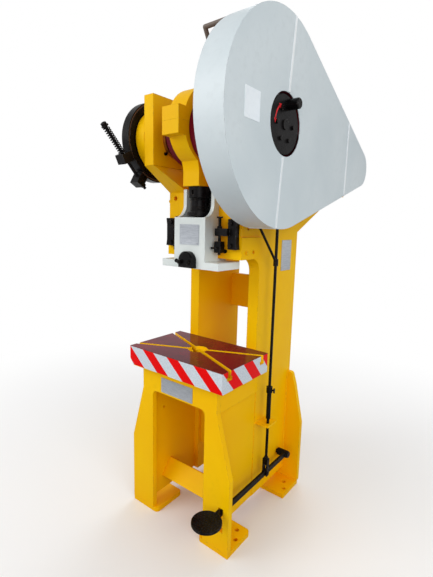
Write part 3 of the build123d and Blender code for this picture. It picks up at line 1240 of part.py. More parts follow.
# Pedal lever and the shafts of both levers
bar_in = BAR_X - BAR_T / 2
bar_out = BAR_X + BAR_T / 2
bar_top = BAR_Z + BAR_H / 2
sleeve_end = BAR_X + PIVOT_SLEEVE_END
lever = box(bar_in, bar_out, PEDAL_Y - PEDAL_LAP, BAR_PIVOT_Y, BAR_Z - BAR_H / 2, bar_top)
lever += rod_x(PIVOT_SLEEVE_X0, sleeve_end, BAR_PIVOT_Y, BAR_Z, PIVOT_SLEEVE_R)
lever -= rod_x(PIVOT_SLEEVE_X0 - OVER, sleeve_end + OVER, BAR_PIVOT_Y, BAR_Z, PIVOT_R + RUN_GAP)
lever += rod_z(bar_top, bar_top + PEDAL_T, BAR_X, PEDAL_Y, PEDAL_R)
lever += box(bar_in, bar_out, LEG_FRONT_Y - PEDAL_STOP_OUT, LEG_FRONT_Y - PEDAL_STOP_IN, BAR_Z, BAR_Z + PEDAL_STOP_H)
lever -= rod_x(BAR_X - 2 * BAR_T, BAR_X + 2 * BAR_T, ROD_Y, BAR_Z, FORK_PIN_R + FORK_PIN_ROOM)


def headed_shaft(end, y, z):
    """A shaft out of the side plate, with a head beyond the lever that it carries."""
    head = end + PIVOT_HEAD_GAP
    return rod_x(PLATE_OUT_X, head, y, z, PIVOT_R) + rod_x(head, head + PIVOT_HEAD_T, y, z, PIVOT_HEAD_R)


trip_hub_end = TRIP_X1 + TRIP_HUB_SIDE
pedal_shaft = headed_shaft(sleeve_end, BAR_PIVOT_Y, BAR_Z)
trip_shaft = headed_shaft(trip_hub_end, TRIP_PIVOT_Y, TRIP_Z)

# Pull rod in its pieces
fork_top = BAR_Z + FORK_TOP
fork_in = BAR_T / 2 + FORK_GAP
fork_out = fork_in + FORK_SHEET
rod_low = fork_top + FORK_NECK
tube_top = TUBE_LOW + TUBE_H
coupler_top = tube_top + COUPLER_H
coupler_mid = tube_top + COUPLER_H / 2
fork = rod_x(BAR_X - FORK_PIN_HALF, BAR_X + FORK_PIN_HALF, ROD_Y, BAR_Z, FORK_PIN_R)
for side in (-1, 1):
    fork += box(BAR_X + side * fork_in, BAR_X + side * fork_out, ROD_Y - FORK_HALF_Y, ROD_Y + FORK_HALF_Y,
                BAR_Z - FORK_BELOW, fork_top)
fork += box(BAR_X - fork_out, BAR_X + fork_out, ROD_Y - FORK_HALF_Y, ROD_Y + FORK_HALF_Y, BAR_Z + FORK_BRIDGE, fork_top)
fork += rod_z(fork_top, rod_low, BAR_X, ROD_Y, FORK_NECK_R)
lower_rod = rod_z(rod_low, tube_top, BAR_X, ROD_Y, PULL_R)
tube = rod_z(TUBE_LOW, tube_top, BAR_X, ROD_Y, TUBE_R)
tube -= rod_z(TUBE_LOW - OVER, tube_top + OVER, BAR_X, ROD_Y, PULL_R + FACE_GAP)
tab_x = BAR_X + COUPLER_SCREW_L - COUPLER_TAB_IN
coupler = rod_z(tube_top, coupler_top, BAR_X, ROD_Y, COUPLER_R)
coupler += rod_x(BAR_X, BAR_X + COUPLER_SCREW_L, ROD_Y, coupler_mid, COUPLER_SCREW_R)
coupler += box(tab_x, tab_x + COUPLER_TAB_T, ROD_Y - COUPLER_TAB_HALF, ROD_Y + COUPLER_TAB_HALF,
               coupler_mid - COUPLER_TAB_HALF_H, coupler_mid + COUPLER_TAB_HALF_H)
upper_rod = rod_z(coupler_top, TRIP_Z + PULL_TOP, BAR_X, ROD_Y, PULL_R)
upper_rod += rod_x(TRIP_X0 - TRIP_PIN_END, BAR_X, ROD_Y, TRIP_Z, TRIP_PIN_R)

# Diagonal link, and the tab that guides the pull rod
clasp_low = JOIN_Z - CLASP_BELOW
clasp_top = JOIN_Z + CLASP_ABOVE
link_y = ROD_Y - LINK_FORWARD
link = tube_path([(BAR_X, ROD_Y, JOIN_Z), (BAR_X, link_y, JOIN_Z + LINK_RISE), (BAR_X, link_y, JOIN_Z + LINK_TOP)],
                 PULL_R - LINK_SLIM)
link -= rod_z(JOIN_Z - LINK_CUT_BELOW, JOIN_Z + LINK_CUT_ABOVE, BAR_X, ROD_Y, PULL_R + RUN_GAP)
link += rod_z(clasp_low, clasp_top, BAR_X, ROD_Y, PULL_R + CLASP_OUT) - rod_z(
    clasp_low - OVER, clasp_top + OVER, BAR_X, ROD_Y, PULL_R + RUN_GAP)
tab = box(PLATE_OUT_X, BAR_X + TAB_OUT, ROD_Y - TAB_FRONT, ROD_Y + TAB_REAR, TAB_Z - TAB_T, TAB_Z)
tab -= rod_z(TAB_Z - TAB_T - OVER, TAB_Z + OVER, BAR_X, ROD_Y, PULL_R + FACE_GAP)

# Trip lever
trip_hub_x0 = TRIP_X0 - TRIP_HUB_SIDE
pin_half = TRIP_PIN_R + TRIP_SLOT_ROOM
trip = box(TRIP_X0, TRIP_X1, TRIP_PIVOT_Y, ROD_Y + TRIP_END, TRIP_Z - TRIP_HALF_H, TRIP_Z + TRIP_HALF_H)
trip += box(TRIP_X0, TRIP_X1, TRIP_PIVOT_Y - TRIP_NOSE, TRIP_PIVOT_Y, TRIP_Z - TRIP_NOSE_HALF_H, TRIP_Z + TRIP_NOSE_HALF_H)
trip += rod_x(trip_hub_x0, trip_hub_end, TRIP_PIVOT_Y, TRIP_Z, TRIP_HUB_R)
trip -= rod_x(trip_hub_x0 - OVER, trip_hub_end + OVER, TRIP_PIVOT_Y, TRIP_Z, PIVOT_R + RUN_GAP)
trip -= box(TRIP_X0 - OVER, TRIP_X1 + OVER, ROD_Y - TRIP_SLOT_HALF, ROD_Y + TRIP_SLOT_HALF,
            TRIP_Z - pin_half, TRIP_Z + pin_half)

# Bare plates
base_plate = box(BASE_PLATE_X0, BASE_PLATE_X0 + BASE_PLATE_W, LEG_FRONT_Y - PLATE_SHEET, LEG_FRONT_Y,
                 BASE_PLATE_Z0, BASE_PLATE_Z0 + BASE_PLATE_H)
column_plate = box(PLATE_OUT_X, PLATE_OUT_X + PLATE_SHEET, COLUMN_PLATE_Y0, COLUMN_PLATE_Y0 + COLUMN_PLATE_D,
                   COLUMN_PLATE_Z0, COLUMN_PLATE_Z0 + COLUMN_PLATE_H)

# One file for each node
save("side_plate_left", mirror(side_plate, Plane.YZ))
save("side_plate_right", side_plate)
save("head_webs", *mirrored(head_web))
save("guide_rails", *mirrored(guide))
save("base_box", base_box)
save("front_leg_plate", front_plate)
save("rear_leg_plate", rear_plate)
save("side_panels", side_panel, left_panel)
save("back_panel", back_panel)
save("brace_plate", brace)
save("foot_plates", *mirrored(front_foot), *mirrored(rear_foot))
save("frame_ties", tie_upper, tie_lower, tie_front)
save("bolster", bolster)
save("crankshaft", crank)
save("crank_bushes", *mirrored(bush))
save("bush_screws", *bush_screws)
save("brake_drum", drum)
save("brake_lining", lining)
save("brake_band", band)
save("brake_anchor", anchor)
save("brake_tie_rod", tie_rod)
save("brake_nuts", near_washer, far_washer, near_nut, far_nut)
save("brake_spring", spring)
save("connecting_rod", rod)
save("rod_cap", cap)
save("cap_bolts", *cap_bolts)
save("ball_screw", screw)
save("lock_collar", collar)
save("slide", ram)
save("ball_ring", ring)
save("clamp_block", clamp)
save("clamp_screw", clamp_screw)
save("clamp_nuts", *clamp_nuts)
save("slide_plate", slide_plate)
save("stop_brackets", *mirrored(bracket))
save("stop_screws", *mirrored(stop_screw))
save("stop_blocks", *mirrored(stop_block))
save("wing_screws", *mirrored(wing))
save("stop_bolts", *stop_bolts)
save("flywheel", fly)
save("hub_disc", hub)
save("hub_bolts", *hub_bolts)
save("hub_knob", knob)
save("motor_pulley", pulley)
save("belts", *belts)
save("motor", motor, cowl)
save("motor_shelf", shelf)
save("motor_bolts", *motor_bolts)
save("guard_front", guard_front)
save("guard_middle", guard_middle)
save("guard_rear", guard_rear)
save("guard_straps", *straps)
save("guard_stays", *stays)
save("pedal_lever", lever)
save("pedal_shafts", pedal_shaft, trip_shaft)
save("pull_rod", fork, lower_rod, tube, coupler, upper_rod)
save("diagonal_link", link)
save("rod_tab", tab)
save("trip_lever", trip)
save("bare_plates", base_plate, column_plate)
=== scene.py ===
import json
import math

import bmesh
import bpy
from mathutils import Matrix, Vector


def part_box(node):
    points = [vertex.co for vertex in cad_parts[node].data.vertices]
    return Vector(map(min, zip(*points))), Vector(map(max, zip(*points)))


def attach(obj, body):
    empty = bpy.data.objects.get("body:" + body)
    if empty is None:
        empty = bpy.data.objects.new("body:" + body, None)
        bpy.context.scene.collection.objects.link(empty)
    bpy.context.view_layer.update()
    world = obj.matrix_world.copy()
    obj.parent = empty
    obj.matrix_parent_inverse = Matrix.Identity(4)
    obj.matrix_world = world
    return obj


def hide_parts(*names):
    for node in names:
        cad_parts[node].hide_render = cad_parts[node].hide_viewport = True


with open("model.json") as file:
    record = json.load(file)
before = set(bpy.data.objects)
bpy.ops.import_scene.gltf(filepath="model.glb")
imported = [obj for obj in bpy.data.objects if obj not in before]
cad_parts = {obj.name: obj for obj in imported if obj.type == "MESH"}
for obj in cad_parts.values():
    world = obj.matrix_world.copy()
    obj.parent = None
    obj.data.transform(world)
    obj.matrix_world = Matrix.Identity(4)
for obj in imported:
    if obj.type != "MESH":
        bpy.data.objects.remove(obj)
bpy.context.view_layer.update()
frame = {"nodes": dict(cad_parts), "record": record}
NODES = frame["nodes"]


# Shader arithmetic and finishes


# The Mix node's sockets for its two colours and for the colour that it gives.
FIRST_COLOUR, SECOND_COLOUR, MIXED_COLOUR = 6, 7, 2


class Tone:
    """One socket of a finish. Sums and products written on it add their Math nodes."""

    def __init__(self, finish, socket):
        self.finish = finish
        self.socket = socket

    def part(self, name):
        """Another output of the node that this one comes from."""
        return Tone(self.finish, self.socket.node.outputs[name])

    def work(self, operation, *others, clamp=False):
        """This tone and the others, put through one Math node."""
        settings = {"operation": operation, "use_clamp": clamp}
        return self.finish.add("ShaderNodeMath", settings, dict(enumerate((self, *others))))

    def turned(self, operation, other):
        """One Math node with the other value first."""
        return self.finish.add("ShaderNodeMath", {"operation": operation}, {0: other, 1: self})

    def __add__(self, other):
        return self.work("ADD", other)

    def __sub__(self, other):
        return self.work("SUBTRACT", other)

    def __mul__(self, other):
        return self.work("MULTIPLY", other)

    def __radd__(self, other):
        return self.turned("ADD", other)

    def __rsub__(self, other):
        return self.turned("SUBTRACT", other)

    def __rmul__(self, other):
        return self.turned("MULTIPLY", other)

    def __gt__(self, other):
        return self.work("GREATER_THAN", other)

    def __lt__(self, other):
        return self.work("LESS_THAN", other)

    def __mod__(self, other):
        return self.work("FLOORED_MODULO", other)

    def clipped(self):
        """The same, kept between 0 and 1."""
        return self.work("ADD", 0.0, clamp=True)

    def ease(self, low, high):
        """0 below low, 1 above high, smooth between them."""
        sockets = {"Value": self, "From Min": low, "From Max": high}
        return self.finish.add("ShaderNodeMapRange", {"interpolation_type": "SMOOTHSTEP"}, sockets)


class Finish:
    """A material for one of the press's finishes."""

    def __init__(self, name):
        self.material = bpy.data.materials.new(name)
        self.material.use_nodes = True
        self.tree = self.material.node_tree
        self.skin = self.tree.nodes["Principled BSDF"]
        self.place = self.add("ShaderNodeTexCoord", {}, {}).part("Object")
        self.facing = self.add("ShaderNodeNewGeometry", {}, {}).part("Normal")

    def add(self, kind, settings, sockets, out=0):
        """Adds a node, sets it, fills its sockets and gives one of its outputs."""
        node = self.tree.nodes.new(kind)
        for name, value in settings.items():
            setattr(node, name, value)
        for name, value in sockets.items():
            self.fill(node.inputs[name], value)
        return Tone(self, node.outputs[out])

    def fill(self, socket, value):
        """Puts a number, a colour or a tone on a socket."""
        if isinstance(value, Tone):
            self.tree.links.new(value.socket, socket)
        else:
            socket.default_value = value

    def set(self, **values):
        """Puts numbers, colours or tones on the surface's own sockets."""
        for name, value in values.items():
            self.fill(self.skin.inputs[name.replace("_", " ").title().replace("Ior", "IOR")], value)

    def mottle(self, scale, detail=3.0, rough=0.5, stretch=None):
        """Uneven patches, 0 to 1, about scale of them to a metre, squeezed along each axis by stretch."""
        where = self.place
        if stretch:
            where = self.add("ShaderNodeVectorMath", {"operation": "MULTIPLY"}, {0: where, 1: stretch})
        sockets = {"Vector": where, "Scale": scale, "Detail": detail, "Roughness": rough}
        return self.add("ShaderNodeTexNoise", {}, sockets)

    def blend(self, amount, first, second):
        """The first colour where amount is 0 and the second where it is 1."""
        sockets = {"Factor": amount, FIRST_COLOUR: first, SECOND_COLOUR: second}
        return self.add("ShaderNodeMix", {"data_type": "RGBA"}, sockets, out=MIXED_COLOUR)

    def axes(self, vector):
        """The X, Y and Z of a vector."""
        parts = self.add("ShaderNodeSeparateXYZ", {}, {"Vector": vector})
        return parts.part("X"), parts.part("Y"), parts.part("Z")

    def rounded(self, radius):
        """The way the surface would face if its sharp edges were rounded."""
        return self.add("ShaderNodeBevel", {"samples": 4}, {"Radius": radius})

    def edges(self, radius):
        """How near a point is to a sharp outer or inner edge, 0 to 1."""
        sockets = {0: self.rounded(radius), 1: self.facing}
        meet = self.add("ShaderNodeVectorMath", {"operation": "DOT_PRODUCT"}, sockets, out="Value")
        return (1.0 - meet).ease(0.02, 0.2)

    def worn(self, reach, scale, low, high):
        """Patches along the edges where the finish is rubbed thin, 0 to 1."""
        return self.edges(reach) * self.mottle(scale, detail=4.0).ease(low, high)

    def openness(self, reach):
        """How open the surface is around a point, 0 in a tight corner and 1 on an open face; used to
        paint shade into corners.
        """
        return self.add("ShaderNodeAmbientOcclusion", {"samples": 6}, {"Distance": reach}, out="AO")

    def relief(self, height, depth, over=None):
        """Turns a height, 0 to 1, into surface relief that is depth metres deep."""
        sockets = {"Height": height, "Distance": depth, "Strength": 1.0}
        if over:
            sockets["Normal"] = over
        self.set(normal=self.add("ShaderNodeBump", {}, sockets))
        return self


def srgb(red, green, blue):
    """A colour read as screen values, in the linear values that a material takes."""

    def linear(value):
        value /= 255
        return value / 12.92 if value <= 0.04045 else ((value + 0.055) / 1.055) ** 2.4

    return (linear(red), linear(green), linear(blue), 1.0)


def toned(colour, factor, lift=0.0):
    """A colour made darker or lighter."""
    return tuple(value * factor + lift for value in colour[:3]) + (1.0,)


def enamel(name, colour, shade, wear, gloss, round_edge=0.0025, cast=0.0, shine=0.5, painted_corner_shade=None):
    """Paint on steel: uneven tone, orange peel, thin spots on the edges, and painted shade, a deeper tone
    in tight corners.
    """
    paint = Finish(name)
    cloud = paint.mottle(scale=3.2, detail=4.0)
    fine = paint.mottle(scale=46.0)
    rub = paint.worn(reach=0.003, scale=60.0, low=0.46, high=0.66) * 0.8
    tone = paint.blend(cloud.ease(0.32, 0.72), shade, colour)
    # Painted shade: where the surface is closed in, its colour turns to the deeper corner colour,
    # standing in for shadow.
    if painted_corner_shade:
        tone = paint.blend(paint.openness(reach=0.25).ease(0.05, 0.62), painted_corner_shade, tone)
    grime = (fine * cloud).ease(0.28, 0.5)
    tone = paint.blend(grime * 0.10, tone, toned(shade, 0.55))
    tone = paint.blend(rub.clipped(), tone, wear)
    roughness = (gloss + cloud * 0.10 + rub * 0.25).clipped()
    paint.set(base_color=tone, roughness=roughness, specular_ior_level=shine)
    peel = paint.mottle(scale=420.0, detail=2.0)
    wave = paint.mottle(scale=9.0, detail=2.0)
    height = peel * 0.10 + wave * 0.9
    if cast:
        height = height + paint.mottle(scale=130.0, detail=5.0, rough=0.62) * cast
    return paint.relief(height, depth=0.0012, over=paint.rounded(round_edge))


def oiled_black(name, colour, gloss):
    """Blackened steel with a film of oil, bright where it is rubbed."""
    steel = Finish(name)
    cloud = steel.mottle(scale=14.0, detail=5.0)
    rub = steel.worn(reach=0.0022, scale=90.0, low=0.42, high=0.62).clipped()
    brown = toned(colour, 1.9, lift=0.004)
    tone = steel.blend(cloud.ease(0.35, 0.7), colour, brown)
    steel.set(
        base_color=steel.blend(rub * 0.55, tone, srgb(120, 112, 104)),
        metallic=(0.1 + rub * 0.5).clipped(),
        roughness=(gloss + cloud * 0.22 - rub * 0.1).clipped(),
        specular_ior_level=0.11,
    )
    grain = steel.mottle(scale=160.0, detail=4.0, rough=0.6)
    return steel.relief(grain, depth=0.0005, over=steel.rounded(0.0015))


def machined(name, colour, gloss):
    """Turned or ground metal with fine tool lines."""
    metal = Finish(name)
    lines = metal.mottle(scale=30.0, rough=0.7, stretch=(1.0, 40.0, 40.0))
    cloud = metal.mottle(scale=18.0)
    metal.set(
        base_color=metal.blend(cloud.ease(0.3, 0.7), toned(colour, 0.72), colour),
        metallic=1.0,
        roughness=(gloss + lines * 0.12 + cloud * 0.08).clipped(),
    )
    return metal.relief(lines, depth=0.0002, over=metal.rounded(0.001))


def table_paint():
    """Burgundy top, yellow in the slots and underneath, striped tape on the front and sides."""
    low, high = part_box("bolster")
    paint = Finish("bolster_burgundy_and_stripes")
    x, y, z = paint.axes(paint.place)
    nx, ny, nz = paint.axes(paint.facing)
    cloud = paint.mottle(scale=7.0, detail=4.0)
    red = paint.blend(cloud.ease(0.3, 0.7), srgb(92, 3, 30), srgb(122, 5, 34))
    grain = paint.mottle(scale=240.0, detail=2.0).ease(0.3, 0.7)
    silver = paint.blend(grain, srgb(196, 206, 216), srgb(216, 224, 232))
    tape_red = paint.blend(grain, srgb(228, 2, 3), srgb(240, 3, 4))

    # A face counts where it looks outwards and lies this close to the table's box.
    outward, top_skin, side_skin = 0.6, 0.0006, 0.0008
    top = (nz > outward) * (z > high.z - top_skin)
    front = (ny < -outward) * (y < low.y + side_skin)
    right = (nx > outward) * (x > high.x - side_skin)
    left = (nx < -outward) * (x < low.x + side_skin)

    def bars(along, slope, begin, pitch):
        """How far along its pair of slanted bars, one red and one silver, a point lies."""
        return ((along + z * slope) - begin) % pitch

    front_bars = bars(x, slope=1.1, begin=0.1025, pitch=0.135)
    side_bars = bars(y, slope=0.85, begin=0.272, pitch=0.125)
    stripe = (front_bars + (side_bars - front_bars) * (right + left)).ease(0.0606, 0.0614)
    margin = (0.0015, 0.002)
    above_low = (z - low.z).ease(*margin)
    below_high = (high.z - z).ease(*margin)
    taped_faces = (front + right + left).clipped()
    tape = taped_faces * above_low * below_high
    burgundy = (top + taped_faces * (1.0 - below_high)).clipped()
    tone = paint.blend(burgundy, srgb(246, 198, 4), red)
    tone = paint.blend(tape, tone, paint.blend(stripe, tape_red, silver))
    scratch = paint.mottle(scale=22.0, detail=6.0, rough=0.75, stretch=(1.0, 7.0, 1.0)).ease(0.58, 0.74)
    tone = paint.blend(top * scratch * 0.20, tone, srgb(172, 96, 98))
    rub = paint.worn(reach=0.003, scale=60.0, low=0.45, high=0.62).clipped()
    roughness = 0.10 + scratch * 0.10 + (1.0 - top) * 0.2 + cloud * 0.06
    paint.set(
        base_color=paint.blend(rub * 0.6, tone, srgb(140, 128, 118)),
        roughness=roughness.clipped(),
        coat_weight=top * 0.3,
        specular_ior_level=0.08,
    )
    return paint.relief(paint.mottle(scale=9.0), depth=0.0008, over=paint.rounded(0.0025))


def belt_rubber():
    """Dull black rubber with a little dust."""
    rubber = Finish("belt_rubber")
    dust = rubber.mottle(scale=60.0, detail=4.0)
    rubber.set(
        base_color=rubber.blend(dust.ease(0.4, 0.75), srgb(26, 26, 27), srgb(58, 56, 54)),
        roughness=(0.62 + dust * 0.2).clipped(),
    )
    return rubber.relief(rubber.mottle(scale=500.0), depth=0.0003)


def woven_lining():
    """The brake's brown woven friction lining."""
    lining = Finish("brake_lining")
    settings = {"wave_type": "BANDS", "bands_direction": "X"}
    sockets = {"Vector": lining.place, "Scale": 260.0, "Distortion": 1.5}
    weave = lining.add("ShaderNodeTexWave", settings, sockets, out="Fac")
    lining.set(base_color=lining.blend(weave, srgb(84, 58, 42), srgb(128, 92, 66)), roughness=0.82)
    return lining.relief(weave, depth=0.0004)


def brushed_plate():
    """Brushed aluminium sheet."""
    plate = Finish("bare_plate_aluminium")
    lines = plate.mottle(scale=60.0, rough=0.7, stretch=(0.6, 0.6, 26.0))
    plate.set(
        base_color=plate.blend(lines.ease(0.3, 0.7), srgb(150, 156, 164), srgb(196, 200, 206)),
        metallic=0.85,
        roughness=(0.3 + lines * 0.15).clipped(),
    )
    return plate.relief(lines, depth=0.00012, over=plate.rounded(0.0006))


FINISHES = {
    "frame_yellow": enamel(
        "frame_yellow_enamel",
        colour=srgb(253, 200, 1),
        shade=srgb(249, 190, 1),
        wear=srgb(150, 120, 60),
        gloss=0.34,
        shine=0.08,
        # The deeper orange painted into tight corners as shade.
        painted_corner_shade=srgb(252, 158, 0),
    ),
    "table_red": table_paint(),
    "guard_white": enamel(
        "guard_pale_enamel",
        colour=srgb(214, 224, 228),
        shade=srgb(202, 214, 219),
        wear=srgb(150, 156, 158),
        gloss=0.34,
        round_edge=0.001,
    ),
    "ram_white": enamel(
        "slide_white_enamel",
        colour=srgb(232, 238, 236),
        shade=srgb(218, 226, 224),
        wear=srgb(120, 116, 110),
        gloss=0.3,
        round_edge=0.003,
        cast=0.25,
    ),
    "black_steel": oiled_black("blackened_steel", srgb(11, 9, 10), gloss=0.17),
    "crank_red": enamel(
        "flywheel_dark_red",
        colour=srgb(122, 6, 34),
        shade=srgb(92, 4, 26),
        wear=srgb(70, 46, 44),
        gloss=0.34,
        round_edge=0.002,
        cast=0.3,
        shine=0.16,
    ),
    "bright_steel": machined("bright_steel", srgb(198, 196, 192), gloss=0.26),
    "bush_brass": machined("bush_bronze", srgb(200, 158, 84), gloss=0.3),
    "belt_rubber": belt_rubber(),
    "motor_grey": enamel(
        "motor_grey_enamel",
        colour=srgb(126, 134, 142),
        shade=srgb(108, 116, 124),
        wear=srgb(160, 158, 150),
        gloss=0.42,
        round_edge=0.002,
        cast=0.3,
    ),
    "plate_alu": brushed_plate(),
    "lining_brown": woven_lining(),
    "stay_brown": enamel(
        "stay_brown_grey",
        colour=srgb(112, 96, 84),
        shade=srgb(92, 78, 68),
        wear=srgb(150, 140, 128),
        gloss=0.4,
        round_edge=0.001,
    ),
}

# Finishes of single added pieces, used in place of their slot's own.
ARROW_RED = enamel(
    "arrow_red_paint",
    colour=srgb(226, 24, 34),
    shade=srgb(206, 14, 26),
    wear=srgb(120, 20, 20),
    gloss=0.4,
    round_edge=0.0003,
)
WHITE_PLATE = enamel(
    "bare_plate_white",
    colour=srgb(244, 251, 255),
    shade=srgb(238, 247, 254),
    wear=srgb(232, 241, 248),
    gloss=0.3,
    round_edge=0.0004,
)
# The seam ridges' finish, lighter than the guard's own white: a painted highlight along the seams.
SEAM_PAINTED_HIGHLIGHT = enamel(
    "seam_painted_highlight_enamel",
    colour=srgb(244, 248, 250),
    shade=srgb(232, 238, 242),
    wear=srgb(214, 220, 224),
    gloss=0.3,
    round_edge=0.0004,
)

# Each solid gets the finish of its slot.
for entry in frame["record"]["subparts"]:
    skin = NODES[entry["node"]].data.materials
    skin.clear()
    skin.append(FINISHES[entry["material_slot"]].material)


# Pieces that finish the solids


RIGHT = Vector((1.0, 0.0, 0.0))
BACK = Vector((0.0, 1.0, 0.0))
RISE = Vector((0.0, 0.0, 1.0))
QUARTER_TURN = math.radians(90)

# The axes of the crank and of the motor, and the guard around the flywheel. The guard's first
# seam leans back by SEAM_LEAN metres for each metre of height.
CRANK = Vector((0.0, -0.205, 1.558))
MOTOR = Vector((0.0, 0.538, 1.509))
MOTOR_LOW, MOTOR_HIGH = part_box("motor")
GUARD_LOW, GUARD_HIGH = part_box("guard_middle")
GUARD_FACE = GUARD_HIGH.x
GUARD_R = 0.330
HUB_OPENING = 0.098
SEAM_LEAN = 0.106


def start(name, add, scale=(1.0, 1.0, 1.0), **where):
    """Adds a primitive with nothing else selected, and names it."""
    bpy.ops.object.select_all(action="DESELECT")
    add(**where)
    piece = bpy.context.object
    piece.scale = scale
    piece.name = piece.data.name = name
    return piece


def picked(piece):
    """Selects one piece alone and makes it the active one."""
    bpy.ops.object.select_all(action="DESELECT")
    piece.select_set(True)
    bpy.context.view_layer.objects.active = piece


def settled(piece):
    """Puts the piece's place, turn and size into its mesh."""
    picked(piece)
    bpy.ops.object.transform_apply(location=True, rotation=True, scale=True)
    return piece


def turn_to(x, y, z):
    """The turn that takes the axes X, Y and Z to three directions."""
    return Matrix((x, y, z)).transposed().to_4x4()


def moved(piece, middle, turn):
    """Turns a piece about the origin and then carries it to its middle."""
    piece.matrix_world = Matrix.Translation(middle) @ turn
    return settled(piece)


def stood(piece, middle, along, up):
    """Turns a piece drawn along X and standing up in Z, and sets it at its middle."""
    along, up = Vector(along).normalized(), Vector(up).normalized()
    return moved(piece, middle, turn_to(along, up.cross(along), up))


def block(name, low, high):
    """A box between two corners."""
    low, high = Vector(low), Vector(high)
    middle = (low + high) / 2
    return settled(
        start(name, bpy.ops.mesh.primitive_cube_add, scale=high - low, size=1.0, location=middle)
    )


def choose(piece, kind, test):
    """In edit mode, selects the edges or faces that pass the test, and nothing else."""
    bpy.ops.mesh.select_mode(type=kind)
    bpy.ops.mesh.select_all(action="DESELECT")
    mesh = bmesh.from_edit_mesh(piece.data)
    for each in mesh.edges if kind == "EDGE" else mesh.faces:
        each.select_set(test(each))
    bmesh.update_edit_mesh(piece.data)


def edges_where(test):
    """Passes the edges whose two corners pass the test."""
    return lambda edge: all(test(corner.co) for corner in edge.verts)


def soften(piece, test, radius, steps=3):
    """Rounds the edges whose two corners pass the test."""
    bpy.ops.object.mode_set(mode="EDIT")
    choose(piece, "EDGE", edges_where(test))
    bpy.ops.mesh.bevel(offset=radius, segments=steps, affect="EDGES")
    bpy.ops.object.mode_set(mode="OBJECT")


def strip(name, first, last, up, width, height, soft):
    """A raised strip between two points, with its upper edges rounded."""
    first, last = Vector(first), Vector(last)
    half = (last - first).length / 2
    piece = block(name, (-half, -width / 2, 0.0), (half, width / 2, height))
    soften(piece, lambda corner: corner.z > height / 2, soft)
    return stood(piece, (first + last) / 2, last - first, up)


def joined(name, parts):
    """Makes one named piece of several."""
    bpy.ops.object.select_all(action="DESELECT")
    for part in parts:
        part.select_set(True)
    whole = parts[0]
    bpy.context.view_layer.objects.active = whole
    if len(parts) > 1:
        bpy.ops.object.join()
    whole.name = whole.data.name = name
    return whole


def copied(piece, move):
    """A copy with its own mesh, moved."""
    picked(piece)
    bpy.ops.object.duplicate(linked=False)
    copy = bpy.context.object
    copy.location = move
    return settled(copy)


def applied(piece, kind, **settings):
    """Adds a modifier, sets it and applies it."""
    picked(piece)
    modifier = piece.modifiers.new(kind.lower(), kind)
    for name, value in settings.items():
        setattr(modifier, name, value)
    bpy.ops.object.modifier_apply(modifier=modifier.name)


def dressed(piece, body, slot, finish=None, angle=35):
    """Gives a finished piece its smooth faces, its material (its slot's finish unless another is given)
    and its body.
    """
    picked(piece)
    bpy.ops.object.shade_smooth_by_angle(angle=math.radians(angle))
    piece.data.materials.clear()
    piece.data.materials.append((finish or FINISHES[slot]).material)
    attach(piece, body)


def guard_seams():
    """The turned-up edges of the guard's sheets, on both sides of each seam and over its rim."""
    width, soft, half_gap = 0.0046, 0.0011, 0.0027
    face_height, rim_height, rim_sunk = 0.0022, 0.0015, 0.0003
    hub_gap, end_gap = 0.002, 0.001
    rear_seam_y = (GUARD_HIGH.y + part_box("guard_rear")[0].y) / 2
    rear_seam_low, rear_seam_high = 1.3755, 1.6745
    lean = Vector((0.0, SEAM_LEAN, 1.0)).normalized()
    aside = Vector((0.0, 1.0, -SEAM_LEAN)).normalized()
    hub = Vector((GUARD_FACE, CRANK.y, CRANK.z))
    rim_left, rim_right = RIGHT * (GUARD_LOW.x + end_gap), RIGHT * (GUARD_FACE - end_gap)
    ridges = []

    def ridge(first, last, up, height):
        ridges.append(strip("ridge", first, last, up, width, height, soft))

    for way in (lean, -lean):
        inner, outer = way * (HUB_OPENING + hub_gap), way * (GUARD_R - end_gap)
        for gap in (aside * half_gap, aside * -half_gap):
            ridge(hub + inner + gap, hub + outer + gap, RIGHT, face_height)
            rim = CRANK + way * (GUARD_R - rim_sunk) + gap
            ridge(rim + rim_left, rim + rim_right, way, rim_height)
    for y in (rear_seam_y - half_gap, rear_seam_y + half_gap):
        ridge((GUARD_FACE, y, rear_seam_low), (GUARD_FACE, y, rear_seam_high), RIGHT, face_height)
    # The ridges are real; their lighter finish is a painted highlight.
    dressed(joined("guard_seam_ridges", ridges), "frame", "guard_white", SEAM_PAINTED_HIGHLIGHT)


def arrow_arc(reach, sweep):
    """A flat band around X, swept from straight up towards the front."""
    width, sliver, steps = 0.006, 0.0004, 16
    arc = start(
        "arc",
        bpy.ops.mesh.primitive_plane_add,
        scale=(width, sliver, 1.0),
        size=1.0,
        location=(0.0, 0.0, reach),
        rotation=(0.0, QUARTER_TURN, 0.0),
    )
    settled(arc)
    # Only one long edge of the narrow plane is left, and the screw sweeps it around X.
    bpy.ops.object.mode_set(mode="EDIT")
    choose(arc, "EDGE", edges_where(lambda corner: corner.y > 0.0))
    bpy.ops.mesh.delete(type="VERT")
    bpy.ops.object.mode_set(mode="OBJECT")
    applied(arc, "SCREW", angle=sweep, axis="X", steps=steps, render_steps=steps)
    return arc


def arrow_head(reach, angle, way):
    """A flat triangle over one end of the arc, pointing on along it."""
    radius, past_end = 0.0095, 0.003
    head = start("head", bpy.ops.mesh.primitive_circle_add, vertices=3, radius=radius, fill_type="NGON")
    tip = Vector((0.0, -math.cos(angle), -math.sin(angle))) * way
    spot = Vector((0.0, -math.sin(angle), math.cos(angle))) * reach + tip * past_end
    return moved(head, spot, turn_to(tip.cross(RIGHT), tip, RIGHT))


